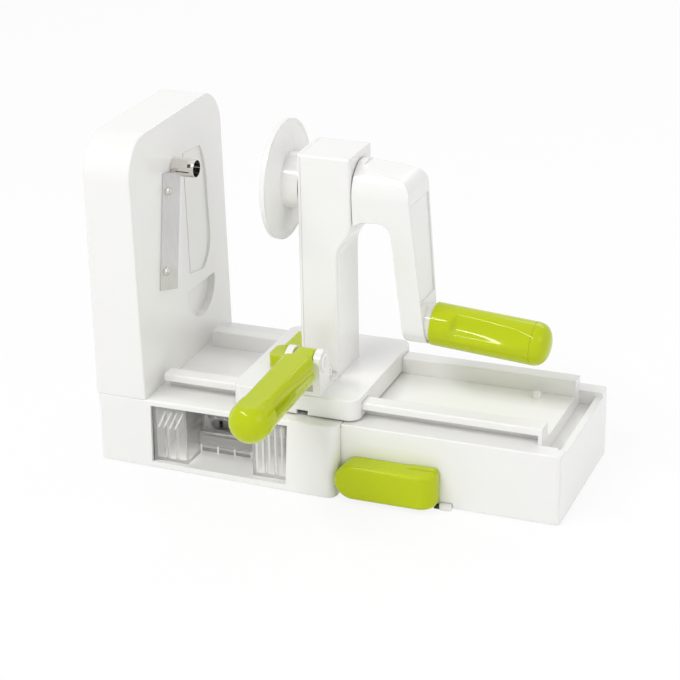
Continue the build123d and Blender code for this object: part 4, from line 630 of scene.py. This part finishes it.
for vertex in handle_mesh.vertices:
    away = (vertex.co - gate).length
    if away < 3 * GATE_R:
        vertex.co -= along_handle * GATE_DEPTH * (1 - soft_step(0.4 * GATE_R, 1.6 * GATE_R, away))
finish_piece("push_handle_bar", handle_mesh, "lime_green_plastic", "push_handle", "push_handle")

# %% [markdown]
# ## Crank grip
# The grip spins on its spindle.  Its finger dish starts with a steep rounded step near the arm and
# fades out towards the domed end.  The dish is a flat cut that also sags a little in its middle,
# which gives the pair of long highlights that such grips show.

# %% Crank grip and its end cap
GRIP_R = 0.0146
GRIP_EDGE = 0.0008  # radius of the rim that faces the arm
GRIP_DOME = 2.4  # power of the end's curve
GRIP_START = 0.0033
GRIP_END = 0.0833
CAP_LENGTH = 0.0110
DISH_TURN = math.radians(64)  # how far from straight up the dish looks, towards the cook
DISH_ANGLE = math.radians(90) - DISH_TURN
DISH_HALF = 1.2  # the flat cut is worked out this many radians to either side
DISH_START = 0.0160
DISH_RISE = 0.0055  # length of the steep step at its start
DISH_FADE_FROM = 0.010  # it starts to fade this far from its start
DISH_FADE = 0.55  # share of its depth that it loses on the way to its end
DISH_END = 0.0700
DISH_OUT = (0.012, 0.004)  # it runs out from this far before its end to this far past it
DISH_DEPTH = 0.0028
DISH_SAG = 0.0012
SAG_HALF = 0.45  # the sag reaches this many radians to either side
DISH_BLEND = 0.0007  # how much the dish's edges are rounded over
DISH_LEAST = 0.001  # share of the depth below which nothing is cut


def grip_section(station, angle):
    """Side and height of the grip's skin; angle 0 looks to the cook, a quarter turn is up."""
    dome = max(0.0, station - (GRIP_END - CAP_LENGTH)) / CAP_LENGTH
    start = min(1.0, (station - GRIP_START) / GRIP_EDGE)
    radius = GRIP_R - GRIP_EDGE * (1 - (1 - (1 - start) ** 2) ** 0.5)
    radius *= max(0.0, 1 - dome ** GRIP_DOME) ** (1 / GRIP_DOME)
    turn = math.atan2(math.sin(angle - DISH_ANGLE), math.cos(angle - DISH_ANGLE))
    if abs(turn) < DISH_HALF:
        deep = soft_step(DISH_START, DISH_START + DISH_RISE, station)
        deep *= 1 - DISH_FADE * soft_step(DISH_START + DISH_FADE_FROM, DISH_END, station)
        deep *= 1 - soft_step(DISH_END - DISH_OUT[0], DISH_END + DISH_OUT[1], station)
        cut = (radius - DISH_DEPTH * deep) / math.cos(turn)
        cut -= DISH_SAG * deep * max(0.0, 1 - (turn / SAG_HALF) ** 2)
        radius = soft_min(radius, cut, DISH_BLEND) if deep > DISH_LEAST else radius
    return radius * math.cos(angle), radius * math.sin(angle)


spin = joints["grip_spin"]
grip_axis = Vector(spin["axis"]).normalized()
grip_side = Vector((0, -1, 0))
grip_up = grip_side.cross(grip_axis)
if grip_up.z < 0:
    grip_up.negate()
grip_turn = Matrix((grip_axis, grip_side, grip_up)).transposed().to_4x4()
grip_place = Matrix.Translation(spin["pos_m"]) @ grip_turn
sleeve_end = GRIP_END - CAP_LENGTH - 0.0001  # a hairline seam shows between sleeve and cap
sleeve_stations = spread(
    (GRIP_START, 0.0001), (GRIP_START + GRIP_EDGE, 0.0015),
    (DISH_START, 0.0004), (DISH_START + 0.006, 0.0014), (sleeve_end, 1),
)
cap_stations = spread((GRIP_END - CAP_LENGTH, 0.0008), (GRIP_END - 0.002, 0.0002), (GRIP_END, 1))
sleeve = skin("grip_sleeve_skin", sleeve_stations, grip_section, grip_place)
finish_piece("crank_grip_sleeve", sleeve, "lime_green_plastic", "grip", "crank_grip")
cap = skin("grip_cap_skin", cap_stations, grip_section, grip_place)
finish_piece("crank_grip_cap", cap, "lime_green_plastic", "grip", "grip_end_cap")

# %% [markdown]
# ## Trees that set a shape on points
# Screws, rivets and ribs are each one small shape repeated, which is what Geometry Nodes are for.
# Every tree here takes bare points, builds its shape once from named sizes, sets a copy on each
# point, and ends in real geometry with its material.  These helpers are shared by all of them.

# %% Helpers for Geometry Nodes
GROWN_SHARP = 35  # degrees between two faces from which their edge is sharp


def node_tree(name, sockets):
    """Geometry tree with named inputs; returns it with its input and output nodes."""
    tree = bpy.data.node_groups.new(name, "GeometryNodeTree")
    tree.interface.new_socket(name="Geometry", in_out="INPUT", socket_type="NodeSocketGeometry")
    for label, kind in sockets:
        tree.interface.new_socket(name=label, in_out="INPUT", socket_type=kind)
    tree.interface.new_socket(name="Geometry", in_out="OUTPUT", socket_type="NodeSocketGeometry")
    return tree, tree.nodes.new("NodeGroupInput"), tree.nodes.new("NodeGroupOutput")


def set_on_points(tree, given, result, shape):
    """Ends a tree: a copy of the shape on each point, as real geometry with its material."""
    copies = tree.nodes.new("GeometryNodeInstanceOnPoints")
    tree.links.new(given.outputs["Geometry"], copies.inputs["Points"])
    tree.links.new(shape, copies.inputs["Instance"])
    if "Turn" in given.outputs:
        turn = tree.nodes.new("FunctionNodeEulerToRotation")
        tree.links.new(given.outputs["Turn"], turn.inputs["Euler"])
        tree.links.new(turn.outputs["Rotation"], copies.inputs["Rotation"])
    real = tree.nodes.new("GeometryNodeRealizeInstances")
    paint = tree.nodes.new("GeometryNodeSetMaterial")
    tree.links.new(copies.outputs["Instances"], real.inputs["Geometry"])
    tree.links.new(real.outputs["Geometry"], paint.inputs["Geometry"])
    tree.links.new(given.outputs["Material"], paint.inputs["Material"])
    tree.links.new(paint.outputs["Geometry"], result.inputs["Geometry"])


def grow(name, tree, points, values, slot):
    """Runs a tree over bare points and hands back the plain mesh that it makes."""
    seed = bpy.data.meshes.new(name + "_points")
    seed.from_pydata([tuple(point) for point in points], [], [])
    holder = bpy.data.objects.new(name + "_points", seed)
    bpy.context.scene.collection.objects.link(holder)
    modifier = holder.modifiers.new(name, "NODES")
    modifier.node_group = tree
    for item in tree.interface.items_tree:
        if item.in_out == "INPUT" and item.name in values:
            modifier[item.identifier] = values[item.name]
        elif item.in_out == "INPUT" and item.name == "Material":
            modifier[item.identifier] = MATERIALS[slot]
    bpy.context.view_layer.update()
    evaluated = holder.evaluated_get(bpy.context.evaluated_depsgraph_get())
    mesh = bpy.data.meshes.new_from_object(evaluated)
    mesh.name = name
    holder.modifiers.clear()
    bpy.data.objects.remove(holder)
    mesh.set_sharp_from_angle(angle=math.radians(GROWN_SHARP))
    return mesh


def cylinder_node(tree, radius, depth, sides):
    """Upright cylinder about the origin; radius and depth are sockets."""
    node = tree.nodes.new("GeometryNodeMeshCylinder")
    node.inputs["Vertices"].default_value = sides
    tree.links.new(radius, node.inputs["Radius"])
    tree.links.new(depth, node.inputs["Depth"])
    return node.outputs["Mesh"]


def moved_node(tree, geometry, height):
    """The geometry, moved along Z by a socket's value."""
    vector = tree.nodes.new("ShaderNodeCombineXYZ")
    tree.links.new(height, vector.inputs["Z"])
    move = tree.nodes.new("GeometryNodeTransform")
    tree.links.new(geometry, move.inputs["Geometry"])
    tree.links.new(vector.outputs["Vector"], move.inputs["Translation"])
    return move.outputs["Geometry"]


def joined_node(tree, *shapes):
    join = tree.nodes.new("GeometryNodeJoinGeometry")
    for shape in shapes:
        tree.links.new(shape, join.inputs["Geometry"])
    return join.outputs["Geometry"]


# %% [markdown]
# ## Cross head screws
# A small screw shows as a pan head with a cross in it.  The cross is cut out of the head by two
# bars, because a painted one would look flat from the side.

# %% One cross head screw
HEAD_SIDES = 28
SHANK_SIDES = 16
RECESS_LENGTH = 1.15  # length and width of the cross's bars over the head's radius
RECESS_WIDTH = 0.3


def make_screw_tree():
    """Pan head with a cross recess and a shank, head's top at the point, shank along -Z."""
    tree, given, result = node_tree("cross_head_screws", [
        ("Head Radius", "NodeSocketFloat"), ("Head Height", "NodeSocketFloat"),
        ("Shank Radius", "NodeSocketFloat"), ("Shank Length", "NodeSocketFloat"),
        ("Turn", "NodeSocketVector"), ("Material", "NodeSocketMaterial"),
    ])
    radius, height = given.outputs["Head Radius"], given.outputs["Head Height"]
    shank_length = given.outputs["Shank Length"]
    bars = []
    for wide, narrow in (("X", "Y"), ("Y", "X")):
        size = tree.nodes.new("ShaderNodeCombineXYZ")
        tree.links.new(math_node(tree, "MULTIPLY", radius, RECESS_LENGTH), size.inputs[wide])
        tree.links.new(math_node(tree, "MULTIPLY", radius, RECESS_WIDTH), size.inputs[narrow])
        tree.links.new(height, size.inputs["Z"])
        bar = tree.nodes.new("GeometryNodeMeshCube")
        tree.links.new(size.outputs["Vector"], bar.inputs["Size"])
        bars.append(moved_node(tree, bar.outputs["Mesh"], math_node(tree, "MULTIPLY", height, 0.5)))
    cross = tree.nodes.new("GeometryNodeMeshBoolean")
    cross.operation = "DIFFERENCE"
    tree.links.new(cylinder_node(tree, radius, height, HEAD_SIDES), cross.inputs["Mesh 1"])
    tree.links.new(joined_node(tree, *bars), cross.inputs["Mesh 2"])
    head = moved_node(tree, cross.outputs["Mesh"], math_node(tree, "MULTIPLY", height, -0.5))
    shank = cylinder_node(tree, given.outputs["Shank Radius"], shank_length, SHANK_SIDES)
    shank = moved_node(tree, shank, math_node(tree, "MULTIPLY", shank_length, -0.5))
    shank = moved_node(tree, shank, math_node(tree, "MULTIPLY", height, -1.0))
    set_on_points(tree, given, result, joined_node(tree, head, shank))
    return tree


# %% [markdown]
# ## Where the screws go
# Each new screw stands on the middle of one of the frame's own plain screws, at its outer end, so
# it sits where it belongs.  A frame node holds all of them in one mesh, which is first taken apart.

# %% Screws on the frame's own places
def loose_boxes(name):
    """Lowest and highest corner of each separate solid in a frame node."""
    shape = bmesh.new()
    shape.from_mesh(nodes[name].data)
    bmesh.ops.remove_doubles(shape, verts=shape.verts, dist=MERGE_DISTANCE)
    left = set(shape.verts)
    boxes = []
    while left:
        queue = [left.pop()]
        found = list(queue)
        while queue:
            for edge in queue.pop().link_edges:
                for vertex in edge.verts:
                    if vertex in left:
                        left.remove(vertex)
                        queue.append(vertex)
                        found.append(vertex)
        corners = [[pick(v.co[axis] for v in found) for axis in range(3)] for pick in (min, max)]
        boxes.append(tuple(Vector(corner) for corner in corners))
    shape.free()
    return sorted(boxes, key=lambda box: tuple(box[0]))


SCREW_HEAD = 0.0016
SCREW_R = 0.0015
screw_tree = make_screw_tree()


def replace_screws(node, body, direction, turn):
    """Cross head screws for one node; direction is the axis that its heads look along."""
    boxes = loose_boxes(node)
    axis = max(range(3), key=lambda index: abs(direction[index]))
    outer = 1 if direction[axis] > 0 else 0
    tops = []
    for box in boxes:
        top = (box[0] + box[1]) / 2
        top[axis] = box[outer][axis]
        tops.append(top)
    low, high = boxes[0]
    across = high[(axis + 1) % 3] - low[(axis + 1) % 3]
    mesh = grow(node + "_cross_heads", screw_tree, tops, {
        "Head Radius": across / 2, "Head Height": SCREW_HEAD, "Shank Radius": SCREW_R,
        "Shank Length": high[axis] - low[axis] - SCREW_HEAD, "Turn": turn,
    }, "zinc_screw")
    finish_piece(node + "_cross_heads", mesh, "zinc_screw", body, node)


replace_screws("column_cover_screws", "carriage", (-1, 0, 0), (0, -math.pi / 2, 0))
replace_screws("cover_screws", "base", (0, 0, -1), (math.pi, 0, 0))

# %% [markdown]
# ## Rivets of the knife
# Each rivet is a flat collar with a low dome on it.  The dark ring between the two is what the eye
# reads as a rivet.  They stand square to the knife, so their tilt comes from the knife's own mesh:
# its largest flat side gives the direction.

# %% Domed rivets with Geometry Nodes
RIVET_R = 0.0032
RIVET_COLLAR = 0.0006
RIVET_DOME = 0.0011
DOME_SHARE = 0.72  # radius of the dome over the collar's
RIVET_SINK = 0.9  # the collar's middle is this share of its height under the plain rivet's end
COLLAR_SIDES = 40
DOME_SEGMENTS = 32
DOME_RINGS = 16
END_REACH = 2e-4  # points this close to a solid's far end count as its end face


def make_rivet_tree():
    """Collar and dome on each point, square to the given turn."""
    tree, given, result = node_tree("domed_rivets", [
        ("Radius", "NodeSocketFloat"), ("Collar", "NodeSocketFloat"), ("Dome", "NodeSocketFloat"),
        ("Turn", "NodeSocketVector"), ("Material", "NodeSocketMaterial"),
    ])
    collar = cylinder_node(tree, given.outputs["Radius"], given.outputs["Collar"], COLLAR_SIDES)
    dome_radius = math_node(tree, "MULTIPLY", given.outputs["Radius"], DOME_SHARE)
    ball = tree.nodes.new("GeometryNodeMeshUVSphere")
    ball.inputs["Segments"].default_value = DOME_SEGMENTS
    ball.inputs["Rings"].default_value = DOME_RINGS
    tree.links.new(dome_radius, ball.inputs["Radius"])
    flat = tree.nodes.new("ShaderNodeCombineXYZ")
    flat.inputs["X"].default_value = 1.0
    flat.inputs["Y"].default_value = 1.0
    tree.links.new(math_node(tree, "DIVIDE", given.outputs["Dome"], dome_radius), flat.inputs["Z"])
    press = tree.nodes.new("GeometryNodeTransform")
    tree.links.new(ball.outputs["Mesh"], press.inputs["Geometry"])
    tree.links.new(flat.outputs["Vector"], press.inputs["Scale"])
    set_on_points(tree, given, result, joined_node(tree, collar, press.outputs["Geometry"]))
    return tree


def widest_normal(name):
    """Direction of a node's widest flat side that looks towards +X."""
    mesh = nodes[name].data
    facing = {}
    for face in mesh.polygons:
        key = tuple(round(value, 2) for value in face.normal)
        if key[0] > 0:
            facing[key] = facing.get(key, 0.0) + face.area
    return Vector(max(facing, key=facing.get)).normalized()


def outermost(name, direction):
    """For each separate solid of a node: the middle of its far side along a direction."""
    mesh = nodes[name].data
    spots = []
    for low, high in loose_boxes(name):
        inside = [
            v.co for v in mesh.vertices
            if all(low[i] - MERGE_DISTANCE <= v.co[i] <= high[i] + MERGE_DISTANCE for i in range(3))
        ]
        reach = max(co.dot(direction) for co in inside)
        near = [co for co in inside if co.dot(direction) > reach - END_REACH]
        spots.append(sum(near, Vector()) / len(near))
    return spots


knife_out = widest_normal("knife_blade")
rivet_spots = [
    spot - knife_out * RIVET_COLLAR * RIVET_SINK for spot in outermost("knife_rivets", knife_out)
]
rivet_turn = knife_out.to_track_quat("Z", "Y").to_euler()
rivets = grow("knife_domed_rivets", make_rivet_tree(), rivet_spots, {
    "Radius": RIVET_R, "Collar": RIVET_COLLAR, "Dome": RIVET_DOME, "Turn": tuple(rivet_turn),
}, "polished_steel")
finish_piece("knife_domed_rivets", rivets, "polished_steel", "base", "knife_rivets")

# %% [markdown]
# ## Caps over the hinge pin
# On the real tool the steel hinge pin ends under two white caps, one on each ear.  A cap is a flat
# button with a rounded rim; it is turned round the pin's axis, which the frame gives.

# %% Hinge pin caps
CAP_R = 0.0064
CAP_RISE = 0.0016
CAP_STEPS = 48
CAP_RIM = CAP_RISE * 0.5  # radius of the rounded rim
CAP_RIM_STEPS = 6
CAP_SHARP = 50  # degrees


def cap_profile():
    """Radius and height of a button: upright side, rounded rim, faint dish in the middle."""
    profile = [(CAP_R, 0.0), (CAP_R, CAP_RIM)]
    for step in range(1, CAP_RIM_STEPS + 1):
        angle = math.radians(90 * step / CAP_RIM_STEPS)
        profile.append((CAP_R - CAP_RIM + CAP_RIM * math.cos(angle), CAP_RIM + CAP_RIM * math.sin(angle)))
    profile += [(CAP_R * 0.72, CAP_RISE), (CAP_R * 0.66, CAP_RISE * 0.86), (0.0, CAP_RISE * 0.84)]
    return profile


def make_pin_caps():
    low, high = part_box("handle_bracket")
    middle = Vector(joints["push_handle_fold"]["pos_m"])
    shape = bmesh.new()
    for face_x, out in ((low[0], -1), (high[0], 1)):
        rings = []
        for radius, rise in cap_profile():
            ring = []
            for step in range(CAP_STEPS):
                angle = math.tau * step / CAP_STEPS
                across, up = radius * math.cos(angle), radius * math.sin(angle)
                ring.append(shape.verts.new((face_x + out * rise, middle.y + across, middle.z + up)))
            rings.append(ring)
        bridge(shape, rings)
        shape.faces.new(rings[0])
    return close_mesh("hinge_pin_caps", shape, CAP_SHARP)


finish_piece("hinge_pin_caps", make_pin_caps(), "warm_white_plastic", "carriage", "handle_pin")

# %% [markdown]
# ## Ribs in the drawer
# Clear mouldings are stiffened by thin ribs, and through the front of the drawer they show as rows
# of fine bright lines.  One tree lays a row of round ribs on bare points, each as long and as
# tilted as its inputs say.

# %% Ribs in the drawer with Geometry Nodes
RIB_R = 0.0007
RIB_SIDES = 10


def make_rib_tree():
    """A thin round rod on each point, along one direction."""
    tree, given, result = node_tree("drawer_ribs", [
        ("Reach", "NodeSocketVector"), ("Radius", "NodeSocketFloat"), ("Material", "NodeSocketMaterial"),
    ])
    line = tree.nodes.new("GeometryNodeCurvePrimitiveLine")
    tree.links.new(given.outputs["Reach"], line.inputs["End"])
    ring = tree.nodes.new("GeometryNodeCurvePrimitiveCircle")
    ring.inputs["Resolution"].default_value = RIB_SIDES
    tree.links.new(given.outputs["Radius"], ring.inputs["Radius"])
    rod = tree.nodes.new("GeometryNodeCurveToMesh")
    rod.inputs["Fill Caps"].default_value = True
    tree.links.new(line.outputs["Curve"], rod.inputs["Curve"])
    tree.links.new(ring.outputs["Curve"], rod.inputs["Profile Curve"])
    set_on_points(tree, given, result, rod.outputs["Mesh"])
    return tree


# %% Rows of ribs
rib_tree = make_rib_tree()
drawer_low, drawer_high = (Vector(corner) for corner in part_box("storage_drawer"))
drawer_wide = drawer_high.x - drawer_low.x
BLOCK_SHARE = 0.235  # width of each front block over the width of the drawer
FRONT_WALL = 0.0018
RIB_GAP = 0.0002  # between the front wall and the ribs behind it
block_wide = drawer_wide * BLOCK_SHARE


def rib_row(name, corner, step, count, reach):
    """One row of ribs behind the drawer's front wall, from a corner and evenly on."""
    points = [corner + step * index for index in range(count)]
    mesh = grow(name, rib_tree, points, {"Reach": tuple(reach), "Radius": RIB_R}, "clear_ribs")
    finish_piece(name, mesh, "clear_plastic", "drawer", look="clear_ribs")


rib_y = drawer_low.y + FRONT_WALL + RIB_R + RIB_GAP
rib_row(
    "drawer_upright_ribs",
    corner=Vector((drawer_high.x - block_wide, rib_y, drawer_low.z + 0.004)),
    step=Vector((block_wide / 5, 0, 0)), count=5, reach=Vector((0, 0, 0.034)),
)
rib_row(
    "drawer_slanted_ribs",
    corner=Vector((drawer_low.x + 0.003, rib_y, drawer_high.z - 0.016)),
    step=Vector((0.0042, 0, 0)), count=4, reach=Vector((0.006, 0, 0.012)),
)
rib_row(
    "drawer_recess_ribs",
    corner=Vector((drawer_low.x + block_wide + 0.004, drawer_low.y + 0.0175, drawer_low.z + 0.002)),
    step=Vector((0.0125, 0, 0)), count=4, reach=Vector((0, 0, 0.0055)),
)
